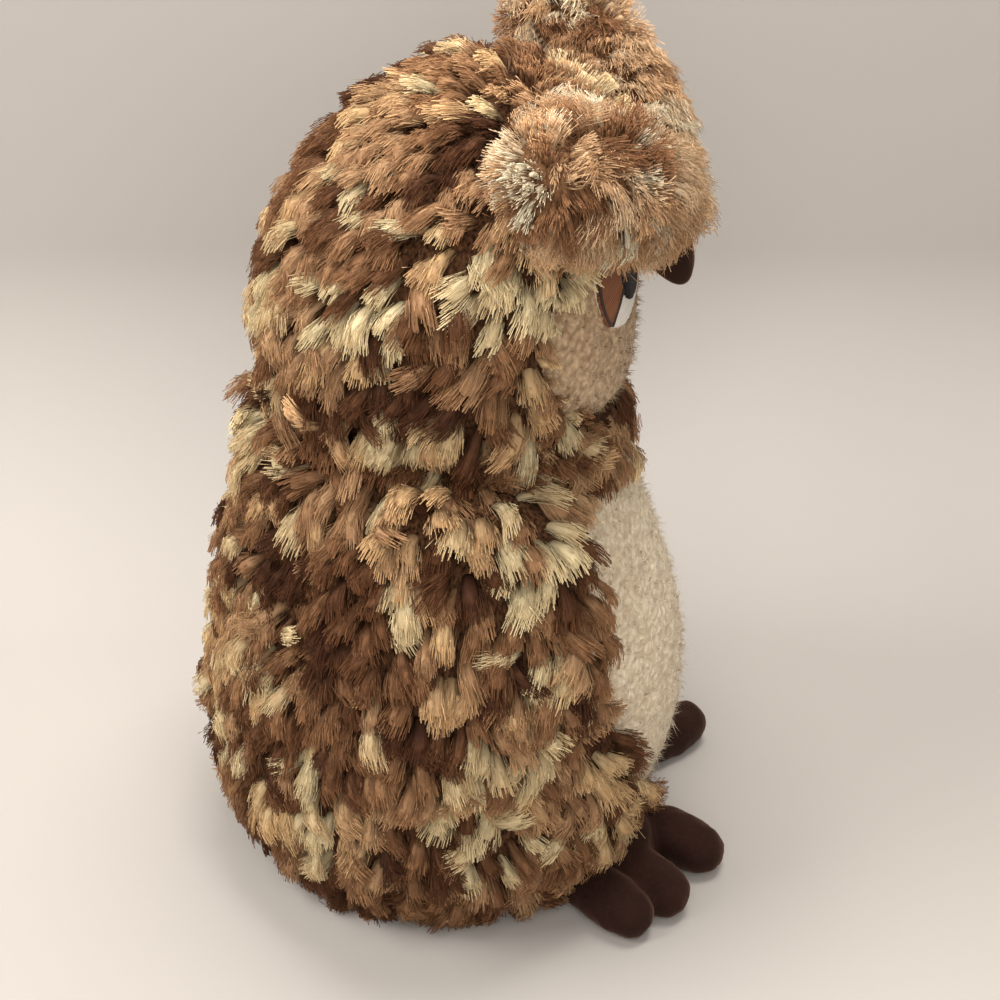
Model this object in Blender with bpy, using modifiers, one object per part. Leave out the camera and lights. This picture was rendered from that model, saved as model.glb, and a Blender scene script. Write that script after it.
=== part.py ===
"""A sitting plush owl, about 33 cm tall, as the separate pieces it is sewn from.

Metres, +Z up. The owl faces -Y and its own right side is -X. The origin is the
centre of its flat base. Each cloth piece is a solid of the cloth's own thickness
over the stuffing that fills it, and every outline follows the stuffing's form.
"""
import math

import bmesh
import bpy
from mathutils import Matrix, Vector

# Cloth and clearance
CLEARANCE = 0.0003
OVERRUN = 0.03
WELD_DISTANCE = 0.00003
PLUSH_THICKNESS = 0.008
FLEECE_THICKNESS = 0.004
BASE_CLOTH_THICKNESS = 0.0022
SATIN_THICKNESS = 0.0016
FELT_THICKNESS = 0.0010
LINING_THICKNESS = 0.0030
SOLE_THICKNESS = 0.0015

# Body stuffing
BODY_HEIGHT = 0.1985
BODY_HALF_WIDTH = 0.0840
BELLY_REACH = 0.0910
BACK_REACH = 0.0785
BASE_RADIUS = 0.054

# Head stuffing
HEAD_HEIGHT = 0.1085
HEAD_HALF_WIDTH = 0.0705
FACE_REACH = 0.0675
NAPE_REACH = 0.0510
NECK_SINK = 0.0130
NECK_RADIUS = 0.030

# Bean pouch in the base
POUCH_RADIUS = 0.044
POUCH_HEIGHT = 0.026

# Bib and face panels
BIB_HALF_WIDTH = 0.0725
BIB_HALF_HEIGHT = 0.0935
BIB_CENTRE_SHARE = 0.552
FACE_HALF_WIDTH = 0.0880
FACE_HALF_HEIGHT = 0.0460
FACE_DEPTH = 0.0600
FACE_CENTRE_SHARE = 0.436

# Eyes
EYE_RADIUS = 0.0175
EYE_SPREAD = 0.035
EYE_CENTRE_SHARE = 0.574
PUPIL_HALF_WIDTH = 0.0075
PUPIL_HALF_HEIGHT = 0.0088
PUPIL_INSET = 0.0040
LID_OVERHANG = 0.0007
LID_EDGE_INSET = 0.0008
LID_SLOPE_DEG = 38.0

# Beak
BEAK_HALF_WIDTH = 0.0090
BEAK_REACH = 0.0190
BEAK_DROP = 0.0270
BEAK_CENTRE_SHARE = 0.523

# Brow and ear tufts
BROW_RADIUS = 0.0225

# Wings
WING_HALF_HEIGHT = 0.0570
WING_HALF_WIDTH = 0.0460
WING_HALF_THICKNESS = 0.0190
WING_SINK = 0.0125
WING_SETBACK = 0.0080
WING_CENTRE_SHARE = 0.652
WING_LEAN_DEG = 14.0
SHOULDER_SHARE = 0.98

# Feet
FOOT_TURN_DEG = 45.0
FOOT_SPREAD_DEG = 34.4
FOOT_SEAT_SHARE = 0.865
TOE_REACH = 0.0455
TOE_RADIUS = 0.0100
TOE_SPACING = 0.0215
INSTEP_HALF_WIDTH = 0.0270
INSTEP_HALF_LENGTH = 0.0220
INSTEP_HEIGHT = 0.0330
ANKLE_REACH = 0.0118
ANKLE_HEIGHT = 0.0262

# Sections of the body stuffing from the base up:
# height as a share of the body's height, then side, belly and back as shares of theirs
BODY_SECTION_SHARES = (
    (0.000, 0.000, 0.000, 0.000),
    (0.000, 0.560, 0.527, 0.611),
    (0.000, 0.735, 0.687, 0.770),
    (0.035, 0.815, 0.747, 0.845),
    (0.121, 0.920, 0.857, 0.955),
    (0.249, 0.994, 0.973, 1.000),
    (0.390, 1.000, 1.000, 1.000),
    (0.531, 0.964, 0.945, 0.940),
    (0.673, 0.893, 0.835, 0.855),
    (0.793, 0.815, 0.736, 0.785),
    (0.889, 0.738, 0.687, 0.740),
    (0.960, 0.631, 0.648, 0.665),
    (0.990, 0.357, 0.330, 0.360),
    (1.000, 0.000, 0.000, 0.000),
)

# Sections of the head stuffing from the neck up:
# height as a share of the head's height, then side, face and nape as shares of theirs
HEAD_SECTION_SHARES = (
    (0.000, 0.000, 0.030, -0.037),
    (0.014, 0.426, 0.690, 0.636),
    (0.083, 0.752, 0.970, 0.935),
    (0.194, 0.929, 0.993, 1.000),
    (0.350, 1.000, 1.000, 1.000),
    (0.507, 1.000, 1.000, 0.935),
    (0.654, 0.936, 0.963, 0.804),
    (0.802, 0.801, 0.859, 0.570),
    (0.922, 0.596, 0.689, 0.280),
    (0.986, 0.326, 0.474, -0.019),
    (1.000, 0.000, 0.267, -0.336),
)

# Sections of a wing from its tip up: height as a share of its half height,
# then thickness, front and rear as shares of its half thickness and half width
WING_SECTION_SHARES = (
    (-1.00, 0.00, -0.30, 0.30),
    (-0.93, 0.45, 0.20, 0.68),
    (-0.70, 0.80, 0.66, 0.98),
    (-0.30, 1.00, 0.95, 1.04),
    (0.15, 1.00, 1.02, 0.98),
    (0.55, 0.90, 0.94, 0.86),
    (0.82, 0.66, 0.68, 0.64),
    (0.96, 0.34, 0.34, 0.36),
    (1.00, 0.00, 0.00, 0.00),
)

# Sections of the bean pouch from the base up, as shares of its height and radius
POUCH_SECTION_SHARES = (
    (0.00, 0.00),
    (0.00, 0.70),
    (0.08, 0.97),
    (0.45, 1.02),
    (0.85, 0.80),
    (1.00, 0.40),
    (1.04, 0.00),
)

# Sections of the instep upwards, as shares of its height and of its half width and length
INSTEP_SECTION_SHARES = (
    (-0.75, 0.00),
    (-0.68, 0.45),
    (-0.30, 0.90),
    (0.10, 1.00),
    (0.50, 0.88),
    (0.88, 0.50),
    (1.00, 0.00),
)

# Sections of a toe from its root to its tip, as shares of its length and radius
TOE_SECTION_SHARES = (
    (0.00, 0.00),
    (0.04, 0.72),
    (0.25, 1.05),
    (0.55, 1.04),
    (0.80, 0.98),
    (0.95, 0.70),
    (1.00, 0.00),
)

# Each toe, inner to outer: place across the foot in toe spacings, length as a
# share of the longest, and the angle it turns outwards from the foot
TOE_SHARES = ((-1.20, 0.84, -5.0), (-0.12, 1.00, 5.0), (0.80, 0.95, 3.0))

# Sections of the beak from its tip up: height as a share of its drop, then half
# width, and its front and rear faces as shares of its reach
BEAK_SECTION_SHARES = (
    (0.00, 0.00, 0.78, -0.78),
    (0.05, 0.40, 0.92, -0.56),
    (0.24, 0.74, 1.00, -0.22),
    (0.55, 1.00, 1.00, 0.30),
    (0.82, 0.85, 0.80, 0.30),
    (1.00, 0.00, 0.20, -0.20),
)

# Path of a brow tuft from the middle of the brow round to the ear: place as shares of
# the head's half width, face reach and height, and radius as a share of the brow's
BROW_PATH_SHARES = (
    (0.043, 1.105, 0.705, 0.33),
    (0.170, 1.110, 0.728, 0.62),
    (0.454, 1.035, 0.812, 0.82),
    (0.766, 0.860, 0.920, 0.97),
    (1.007, 0.720, 1.005, 1.00),
    (1.135, 0.580, 1.040, 0.92),
    (1.180, 0.465, 1.046, 0.70),
    (1.195, 0.385, 1.044, 0.33),
)

# Places worked out from the sizes
BODY_FLOOR = BASE_CLOTH_THICKNESS + CLEARANCE
BODY_TOP = BODY_FLOOR + BODY_HEIGHT
HEAD_FLOOR = BODY_TOP - NECK_SINK
FLEECE_FACE = FLEECE_THICKNESS + CLEARANCE
SATIN_FACE = FLEECE_FACE + SATIN_THICKNESS + CLEARANCE

BODY_SIDES = 12
HEAD_SIDES = 12
WING_SIDES = 12
SMALL_SIDES = 8
ROUND_SIDES = 28

# Each cloth's and filling's material name, colour and roughness
CLOTHS = {
    "plush": ("mottled_plush", (0.24, 0.13, 0.07), 0.95),
    "brow": ("brow_plush", (0.36, 0.20, 0.11), 0.95),
    "fleece": ("cream_fleece", (0.56, 0.42, 0.26), 0.95),
    "suede": ("brown_suede", (0.045, 0.016, 0.011), 0.85),
    "satin": ("white_satin", (0.80, 0.76, 0.68), 0.45),
    "pupil": ("black_satin", (0.010, 0.009, 0.012), 0.40),
    "lid": ("lid_satin", (0.10, 0.030, 0.016), 0.55),
    "stuffing": ("polyester_stuffing", (0.85, 0.85, 0.85), 0.95),
    "pouch": ("bean_pouch_cloth", (0.70, 0.70, 0.66), 0.90),
}


def clear_scene():
    """Empty the scene, so that the model stands alone."""
    for item in list(bpy.data.objects):
        bpy.data.objects.remove(item, do_unlink=True)


def new_collection(name):
    """A collection linked to the scene."""
    collection = bpy.data.collections.new(name)
    bpy.context.scene.collection.children.link(collection)
    return collection


def new_material(name, color, roughness):
    """A plain Principled material of one cloth."""
    material = bpy.data.materials.new(name)
    material.use_nodes = True
    shader = material.node_tree.nodes["Principled BSDF"]
    shader.inputs["Base Color"].default_value = (*color, 1.0)
    shader.inputs["Roughness"].default_value = roughness
    shader.inputs["Metallic"].default_value = 0.0
    material.diffuse_color = (*color, 1.0)
    return material


def new_object(name, mesh, collection):
    """An object of a mesh, in a collection."""
    item = bpy.data.objects.new(name, mesh)
    collection.objects.link(item)
    return item


def sections_cage(name, rows, sides, collection):
    """A round cage whose rings stand at the given heights.

    A row holds height, half width, and how far the ring reaches to the front and
    to the rear. The rings are widened by what one subdivision draws in.
    """
    bm = bmesh.new()
    bmesh.ops.create_uvsphere(bm, u_segments=sides, v_segments=len(rows) - 1, radius=1.0)
    widen = 1.0 / (0.75 + 0.25 * math.cos(math.tau / sides))
    for vertex in bm.verts:
        polar = math.acos(max(-1.0, min(1.0, -vertex.co.z)))
        ring = round(polar / math.pi * (len(rows) - 1))
        height, side, front, rear = rows[ring]
        around = math.atan2(vertex.co.y, vertex.co.x)
        across = math.cos(around) * side * widen
        along = (rear - front) / 2 + math.sin(around) * (rear + front) / 2 * widen
        vertex.co = (across, along, height)
    bmesh.ops.recalc_face_normals(bm, faces=bm.faces)
    mesh = bpy.data.meshes.new(name)
    bm.to_mesh(mesh)
    bm.free()
    mesh.shade_smooth()
    item = new_object(name, mesh, collection)
    smooth = item.modifiers.new("round", "SUBSURF")
    smooth.levels = 1
    smooth.render_levels = 1
    return item


def grow(item, distance):
    """Push a form's surface outwards by a distance."""
    if distance:
        push = item.modifiers.new("grow", "DISPLACE")
        push.strength = distance
        push.mid_level = 0.0
    return item


def cut(item, operation, cutter):
    """Cut or trim an item with another object."""
    boolean = item.modifiers.new(cutter.name, "BOOLEAN")
    boolean.operation = operation
    boolean.solver = "EXACT"
    boolean.object = cutter
    return item


def as_cutter(item):
    """Hide a guide shape, which is not part of the toy."""
    item.hide_render = True
    item.display_type = "WIRE"
    return item


def joined_cutter(item, others):
    """A guide shape joined with others, so that a cover is cut by all of them at once."""
    for other in others:
        cut(item, "UNION", other)
    return as_cutter(item)


def body_form(name, distance, collection):
    """The body's stuffing, or a surface at a distance outside it."""
    rows = [
        (BODY_FLOOR + h * BODY_HEIGHT, s * BODY_HALF_WIDTH, f * BELLY_REACH, b * BACK_REACH)
        for h, s, f, b in BODY_SECTION_SHARES
    ]
    return grow(sections_cage(name, rows, BODY_SIDES, collection), distance)


def head_form(name, distance, collection):
    """The head's stuffing, or a surface at a distance outside it."""
    rows = [
        (HEAD_FLOOR + h * HEAD_HEIGHT, s * HEAD_HALF_WIDTH, f * FACE_REACH, b * NAPE_REACH)
        for h, s, f, b in HEAD_SECTION_SHARES
    ]
    return grow(sections_cage(name, rows, HEAD_SIDES, collection), distance)


def pouch_form(name, distance, collection):
    """The bean pouch, a flat-bottomed cushion on the base panel."""
    rows = [
        (BODY_FLOOR + h * POUCH_HEIGHT, r * POUCH_RADIUS, r * POUCH_RADIUS, r * POUCH_RADIUS)
        for h, r in POUCH_SECTION_SHARES
    ]
    return grow(sections_cage(name, rows, BODY_SIDES, collection), distance)


def span(side, inner, outer):
    """Two places across the toy on one side of it, the lower first."""
    return sorted((side * inner, side * outer))


def box(name, low, high, collection, place=None):
    """A box between two corners, in a frame of its own or the toy's."""
    bm = bmesh.new()
    bmesh.ops.create_cube(bm, size=1.0)
    low = Vector(low)
    high = Vector(high)
    bmesh.ops.scale(bm, vec=high - low, verts=bm.verts)
    bmesh.ops.translate(bm, vec=(low + high) / 2, verts=bm.verts)
    mesh = bpy.data.meshes.new(name)
    bm.to_mesh(mesh)
    bm.free()
    item = new_object(name, mesh, collection)
    if place is not None:
        item.matrix_basis = place
    return item


def drum(name, radius_x, radius_y, low, high, collection, place=None):
    """An upright elliptic drum between two heights, placed by a matrix."""
    bm = bmesh.new()
    bmesh.ops.create_cone(
        bm, cap_ends=True, segments=ROUND_SIDES, radius1=1.0, radius2=1.0, depth=high - low
    )
    bmesh.ops.scale(bm, vec=(radius_x, radius_y, 1.0), verts=bm.verts)
    bmesh.ops.translate(bm, vec=(0.0, 0.0, (low + high) / 2), verts=bm.verts)
    mesh = bpy.data.meshes.new(name)
    bm.to_mesh(mesh)
    bm.free()
    mesh.shade_smooth()
    item = new_object(name, mesh, collection)
    if place is not None:
        item.matrix_basis = place
    return item


def ball(name, radii, centre, collection):
    """A plain ellipsoid guide."""
    bm = bmesh.new()
    bmesh.ops.create_uvsphere(bm, u_segments=ROUND_SIDES, v_segments=ROUND_SIDES // 2, radius=1.0)
    bmesh.ops.scale(bm, vec=radii, verts=bm.verts)
    bmesh.ops.translate(bm, vec=centre, verts=bm.verts)
    mesh = bpy.data.meshes.new(name)
    bm.to_mesh(mesh)
    bm.free()
    return new_object(name, mesh, collection)


def hinge_empty(name, frame, collection):
    """An empty with its origin on a hinge's axis."""
    hinge = new_object(name, None, collection)
    hinge.matrix_basis = frame
    return hinge


def hang(item, hinge, place):
    """Carry an item on a hinge, with its own frame at a place."""
    item.parent = hinge
    item.matrix_basis = hinge.matrix_basis.inverted() @ place
    return item


def finish(item, material):
    """Give a piece its cloth."""
    item.data.materials.append(material)


class Guides:
    """The shapes that other pieces are cut by, each made once."""

    def __init__(self, collection):
        self.collection = collection
        far = BODY_HALF_WIDTH + BELLY_REACH + OVERRUN
        seat, lining_top, cover_seat = self.wing_layers()
        self.floor = box("floor_guide", (-far, -far, -OVERRUN), (far, far, 0.0), collection)
        self.body_inside = body_form("body_inside", CLEARANCE, collection)
        self.body_outside = body_form("body_outside", PLUSH_THICKNESS + CLEARANCE, collection)
        self.wing_seat = body_form("wing_seat", seat, collection)
        self.wing_lining_top = body_form("wing_lining_top", lining_top, collection)
        self.wing_cover_seat = body_form("wing_cover_seat", cover_seat, collection)
        self.head_inside = head_form("head_inside", CLEARANCE, collection)
        self.head_outside = head_form("head_outside", PLUSH_THICKNESS + CLEARANCE, collection)
        self.beak_seat = head_form("beak_seat", FLEECE_FACE, collection)
        self.satin_top = head_form("satin_top", FLEECE_FACE + SATIN_THICKNESS, collection)
        self.felt_seat = head_form("felt_seat", SATIN_FACE, collection)
        self.felt_top = head_form("felt_top", SATIN_FACE + FELT_THICKNESS, collection)
        self.base_hole = self.base_drum("base_hole", BASE_RADIUS + CLEARANCE)
        self.neck_hole = self.neck_drum("neck_hole", NECK_RADIUS + CLEARANCE)
        self.bib_hole = self.bib_drum("bib_hole", CLEARANCE)
        self.bib_outline = self.bib_drum("bib_outline", 0.0)
        self.face_hole = self.face_ball("face_hole", CLEARANCE)
        self.face_outline = self.face_ball("face_outline", 0.0)
        self.pouch_space = pouch_form("pouch_space", CLEARANCE, collection)
        for item in collection.objects:
            as_cutter(item)

    def wing_layers(self):
        """Distances from the body's stuffing to the lining's two faces and the wing cover."""
        seat = PLUSH_THICKNESS + CLEARANCE
        top = seat + LINING_THICKNESS
        return seat, top, top + CLEARANCE

    def base_drum(self, name, radius):
        """A drum through the underside of the body."""
        return drum(name, radius, radius, -OVERRUN, BODY_FLOOR, self.collection)

    def face_ball(self, name, distance):
        """A ball sunk in the front of the head, seen from the front as the face's outline."""
        middle = HEAD_FLOOR + FACE_CENTRE_SHARE * HEAD_HEIGHT
        radii = (FACE_HALF_WIDTH + distance, FACE_DEPTH + distance, FACE_HALF_HEIGHT + distance)
        return ball(name, radii, (0.0, -FACE_REACH - FLEECE_THICKNESS, middle), self.collection)

    def neck_drum(self, name, radius):
        """A drum through the neck, from inside the body into the head's stuffing."""
        return drum(name, radius, radius, HEAD_FLOOR - OVERRUN, HEAD_FLOOR + NECK_SINK, self.collection)

    def bib_drum(self, name, distance):
        """A level drum through the belly, seen from the front as the bib's outline."""
        middle = BODY_FLOOR + BIB_CENTRE_SHARE * BODY_HEIGHT
        place = Matrix.Translation((0.0, 0.0, middle)) @ Matrix.Rotation(math.pi / 2, 4, "X")
        return drum(
            name, BIB_HALF_WIDTH + distance, BIB_HALF_HEIGHT + distance,
            0.0, BELLY_REACH + OVERRUN, self.collection, place,
        )


def build_body(parts, guides, cloths):
    """The long-pile cover, the bib, the base panel, the stuffing and the bean pouch."""
    cover = body_form("body_cover", PLUSH_THICKNESS, parts)
    hollow = body_form("body_hollow", CLEARANCE, guides.collection)
    openings = (guides.head_outside, guides.floor, guides.base_hole, guides.bib_hole)
    cut(cover, "DIFFERENCE", joined_cutter(hollow, openings))
    finish(cover, cloths["plush"])

    bib = body_form("bib_panel", FLEECE_THICKNESS, parts)
    cut(bib, "INTERSECT", guides.bib_outline)
    cut(bib, "DIFFERENCE", guides.body_inside)
    cut(bib, "DIFFERENCE", guides.head_outside)
    finish(bib, cloths["fleece"])

    base = drum("base_panel", BASE_RADIUS, BASE_RADIUS, 0.0, BASE_CLOTH_THICKNESS, parts)
    finish(base, cloths["plush"])

    stuffing = body_form("body_stuffing", 0.0, parts)
    cut(stuffing, "DIFFERENCE", guides.head_outside)
    neck = as_cutter(guides.neck_drum("neck_stuffing", NECK_RADIUS))
    cut(stuffing, "UNION", neck)
    cut(stuffing, "DIFFERENCE", guides.pouch_space)
    finish(stuffing, cloths["stuffing"])

    finish(pouch_form("bean_pouch", 0.0, parts), cloths["pouch"])


def build_head(parts, guides, cloths):
    """The head's plush cover, its face panel and its stuffing."""
    cover = head_form("head_cover", PLUSH_THICKNESS, parts)
    hollow = head_form("head_hollow", CLEARANCE, guides.collection)
    cut(cover, "DIFFERENCE", joined_cutter(hollow, (guides.face_hole, guides.neck_hole)))
    finish(cover, cloths["plush"])

    face = head_form("face_panel", FLEECE_THICKNESS, parts)
    cut(face, "INTERSECT", guides.face_outline)
    cut(face, "DIFFERENCE", guides.head_inside)
    finish(face, cloths["fleece"])

    stuffing = head_form("head_stuffing", 0.0, parts)
    cut(stuffing, "DIFFERENCE", guides.neck_hole)
    finish(stuffing, cloths["stuffing"])


def brow_tube(name, side, distance, collection):
    """A fat tapering tube along one brow, as a mesh with closed ends."""
    curve = bpy.data.curves.new(name, "CURVE")
    curve.dimensions = "3D"
    curve.bevel_depth = BROW_RADIUS
    curve.bevel_resolution = 1
    curve.use_fill_caps = True
    spline = curve.splines.new("POLY")
    spline.points.add(len(BROW_PATH_SHARES) - 1)
    for point, (across, reach, height, radius) in zip(spline.points, BROW_PATH_SHARES):
        point.co = (
            side * across * HEAD_HALF_WIDTH,
            -reach * FACE_REACH,
            HEAD_FLOOR + height * HEAD_HEIGHT,
            1.0,
        )
        point.radius = radius + distance / BROW_RADIUS
    guide = new_object(name + "_path", curve, collection)
    bpy.context.view_layer.update()
    evaluated = guide.evaluated_get(bpy.context.evaluated_depsgraph_get())
    mesh = bpy.data.meshes.new_from_object(evaluated)
    bpy.data.objects.remove(guide, do_unlink=True)
    bm = bmesh.new()
    bm.from_mesh(mesh)
    bmesh.ops.remove_doubles(bm, verts=bm.verts, dist=WELD_DISTANCE)
    bmesh.ops.recalc_face_normals(bm, faces=bm.faces)
    bm.to_mesh(mesh)
    bm.free()
    mesh.name = name
    mesh.shade_smooth()
    item = new_object(name, mesh, collection)
    smooth = item.modifiers.new("round", "SUBSURF")
    smooth.levels = 1
    smooth.render_levels = 1
    return item


def build_brows(parts, guides, cloths):
    """The stuffed brow ridges that rise to the ear tips, one each side."""
    spaces = []
    for side, name in ((-1, "right"), (1, "left")):
        brow = brow_tube("brow_tuft_" + name, side, 0.0, parts)
        far = HEAD_HALF_WIDTH + FACE_REACH + BROW_RADIUS + OVERRUN
        near, past = span(side, CLEARANCE / 2, -far)
        half = as_cutter(box(
            "brow_half_" + name, (near, -far, -OVERRUN), (past, far, BODY_TOP + far), guides.collection
        ))
        cut(brow, "DIFFERENCE", half)
        cut(brow, "DIFFERENCE", guides.head_outside)
        finish(brow, cloths["brow"])
        spaces.append(as_cutter(brow_tube("brow_space_" + name, side, CLEARANCE, guides.collection)))
    return spaces


def build_beak(parts, guides, brow_spaces, cloths):
    """The beak, a short stuffed hook on the face, under the brows."""
    tip = HEAD_FLOOR + BEAK_CENTRE_SHARE * HEAD_HEIGHT - BEAK_DROP / 2
    rows = [
        (tip + h * BEAK_DROP, w * BEAK_HALF_WIDTH, f * BEAK_REACH, r * BEAK_REACH)
        for h, w, f, r in BEAK_SECTION_SHARES
    ]
    beak = sections_cage("beak", rows, SMALL_SIDES, parts)
    beak.location = (0.0, -FACE_REACH - FLEECE_THICKNESS, 0.0)
    cut(beak, "DIFFERENCE", guides.beak_seat)
    for space in brow_spaces:
        cut(beak, "DIFFERENCE", space)
    finish(beak, cloths["suede"])


def eye_place(side):
    """The eye's own frame: X to the owl's left, Y up the face, Z out of the face."""
    half = (FACE_REACH + NAPE_REACH) / 2
    across = EYE_SPREAD / HEAD_HALF_WIDTH
    ahead = math.sqrt(1.0 - across * across)
    reach = (FACE_REACH - NAPE_REACH) / 2 + half * ahead
    outward = math.atan2(across / HEAD_HALF_WIDTH, ahead / half)
    height = HEAD_FLOOR + EYE_CENTRE_SHARE * HEAD_HEIGHT
    upright = Matrix.Rotation(math.pi / 2, 4, "X")
    turned = Matrix.Rotation(side * outward, 4, "Z")
    return Matrix.Translation((side * EYE_SPREAD, -reach, height)) @ turned @ upright


def build_eyes(parts, guides, cloths):
    """Each eye: a white satin disc, a black pupil and a lid that slants over it."""
    deep = PLUSH_THICKNESS + FLEECE_THICKNESS
    for side, name in ((-1, "right"), (1, "left")):
        place = eye_place(side)
        pupil_place = place @ Matrix.Translation((-side * PUPIL_INSET, 0.0, 0.0))

        white = drum("eye_white_" + name, EYE_RADIUS, EYE_RADIUS, -deep, deep, parts, place)
        cut(white, "INTERSECT", guides.satin_top)
        cut(white, "INTERSECT", guides.face_outline)
        cut(white, "DIFFERENCE", guides.beak_seat)
        finish(white, cloths["satin"])

        pupil = drum(
            "eye_pupil_" + name, PUPIL_HALF_WIDTH, PUPIL_HALF_HEIGHT, -deep, deep, parts, pupil_place
        )
        cut(pupil, "INTERSECT", guides.felt_top)
        cut(pupil, "DIFFERENCE", guides.felt_seat)
        finish(pupil, cloths["pupil"])

        lid_radius = EYE_RADIUS + LID_OVERHANG
        lid = drum("eyelid_" + name, lid_radius, lid_radius, -deep, deep, parts, place)
        edge = place @ Matrix.Rotation(side * math.radians(LID_SLOPE_DEG), 4, "Z")
        near, past = span(side, LID_EDGE_INSET, OVERRUN)
        covered = as_cutter(box(
            "lid_half_" + name, (near, -OVERRUN, -OVERRUN), (past, OVERRUN, OVERRUN),
            guides.collection, edge,
        ))
        pupil_space = as_cutter(drum(
            "pupil_space_" + name,
            PUPIL_HALF_WIDTH + CLEARANCE, PUPIL_HALF_HEIGHT + CLEARANCE,
            -deep - CLEARANCE, deep + CLEARANCE, guides.collection, pupil_place,
        ))
        cut(lid, "INTERSECT", guides.felt_top)
        cut(lid, "INTERSECT", guides.face_outline)
        cut(lid, "INTERSECT", covered)
        cut(lid, "DIFFERENCE", guides.felt_seat)
        cut(lid, "DIFFERENCE", pupil_space)
        finish(lid, cloths["lid"])


def wing_place(side):
    """The wing's middle on the body's side, leaning in at the top."""
    across = BODY_HALF_WIDTH + PLUSH_THICKNESS - WING_SINK
    height = BODY_FLOOR + WING_CENTRE_SHARE * BODY_HEIGHT
    lean = Matrix.Rotation(-side * math.radians(WING_LEAN_DEG), 4, "Y")
    return Matrix.Translation((side * across, -WING_SETBACK, height)) @ lean


def build_wings(parts, guides, cloths):
    """Two wings, each a stuffed plush flap with a thin lining towards the body."""
    rows = [
        (h * WING_HALF_HEIGHT, t * WING_HALF_THICKNESS, f * WING_HALF_WIDTH, r * WING_HALF_WIDTH)
        for h, t, f, r in WING_SECTION_SHARES
    ]
    for side, name in ((-1, "right"), (1, "left")):
        place = wing_place(side)
        shoulder = place @ Vector((0.0, 0.0, SHOULDER_SHARE * WING_HALF_HEIGHT))
        hinge = hinge_empty("shoulder_" + name, Matrix.Translation(shoulder), parts)
        cover = sections_cage("wing_" + name, rows, WING_SIDES, parts)
        hang(cover, hinge, place)
        cut(cover, "DIFFERENCE", guides.wing_cover_seat)
        finish(cover, cloths["plush"])
        lining = sections_cage("wing_lining_" + name, rows, WING_SIDES, parts)
        hang(lining, hinge, place)
        cut(lining, "INTERSECT", guides.wing_lining_top)
        cut(lining, "DIFFERENCE", guides.wing_seat)
        finish(lining, cloths["fleece"])


def foot_place(side):
    """The foot's frame on the floor: X to the owl's right, Y along the foot, Z up."""
    seat = FOOT_SEAT_SHARE * BODY_HALF_WIDTH
    spread = math.radians(FOOT_SPREAD_DEG)
    turned = Matrix.Rotation(math.pi + side * math.radians(FOOT_TURN_DEG), 4, "Z")
    return Matrix.Translation((side * seat * math.sin(spread), -seat * math.cos(spread), 0.0)) @ turned


def toe_form(name, toe, side, collection, place):
    """One stuffed toe, lying forward from the middle of the foot."""
    across, length, turn = toe
    reach = TOE_REACH * length
    rows = [
        (share * reach, radius * TOE_RADIUS, radius * TOE_RADIUS, radius * TOE_RADIUS)
        for share, radius in TOE_SECTION_SHARES
    ]
    item = sections_cage(name, rows, SMALL_SIDES, collection)
    lie = Matrix.Rotation(-math.pi / 2, 4, "X")
    aim = Matrix.Rotation(side * math.radians(turn), 4, "Z")
    seat = Matrix.Translation((-side * across * TOE_SPACING, 0.0, TOE_RADIUS - SOLE_THICKNESS))
    item.matrix_basis = place @ seat @ aim @ lie
    return item


def foot_form(name, side, hinge, parts, guides):
    """The instep with its three toes, as one rounded form carried at the ankle."""
    rows = [
        (h * INSTEP_HEIGHT, r * INSTEP_HALF_WIDTH, r * INSTEP_HALF_LENGTH, r * INSTEP_HALF_LENGTH)
        for h, r in INSTEP_SECTION_SHARES
    ]
    place = foot_place(side)
    item = sections_cage(name, rows, BODY_SIDES, parts)
    hang(item, hinge, place)
    for index, toe in enumerate(TOE_SHARES):
        toe_name = f"{name}_toe_{index + 1}"
        cut(item, "UNION", as_cutter(toe_form(toe_name, toe, side, guides.collection, place)))
    return item


def build_feet(parts, guides, cloths):
    """Two three-toed feet of suede cloth, each with a flat sole."""
    far = BODY_HALF_WIDTH + BELLY_REACH + OVERRUN
    sole_slab = as_cutter(box(
        "sole_slab", (-far, -far, -OVERRUN), (far, far, SOLE_THICKNESS), guides.collection
    ))
    upper_floor = as_cutter(box(
        "upper_floor", (-far, -far, -OVERRUN), (far, far, SOLE_THICKNESS + CLEARANCE), guides.collection
    ))
    for side, name in ((-1, "right"), (1, "left")):
        ankle = foot_place(side) @ Matrix.Translation((0.0, ANKLE_REACH, ANKLE_HEIGHT))
        hinge = hinge_empty("ankle_" + name, ankle, parts)
        foot = foot_form("foot_" + name, side, hinge, parts, guides)
        cut(foot, "DIFFERENCE", upper_floor)
        cut(foot, "DIFFERENCE", guides.body_outside)
        finish(foot, cloths["suede"])
        sole = foot_form("foot_sole_" + name, side, hinge, parts, guides)
        cut(sole, "INTERSECT", sole_slab)
        cut(sole, "DIFFERENCE", guides.floor)
        cut(sole, "DIFFERENCE", guides.body_outside)
        finish(sole, cloths["suede"])


def main():
    clear_scene()
    parts = new_collection("plush_owl")
    guides = Guides(new_collection("cutters"))
    cloths = {key: new_material(*cloth) for key, cloth in CLOTHS.items()}
    build_body(parts, guides, cloths)
    build_head(parts, guides, cloths)
    brow_spaces = build_brows(parts, guides, cloths)
    build_beak(parts, guides, brow_spaces, cloths)
    build_eyes(parts, guides, cloths)
    build_wings(parts, guides, cloths)
    build_feet(parts, guides, cloths)


main()
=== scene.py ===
import math

import bmesh
import bpy
import numpy as np
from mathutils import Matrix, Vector
from mathutils.bvhtree import BVHTree


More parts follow.
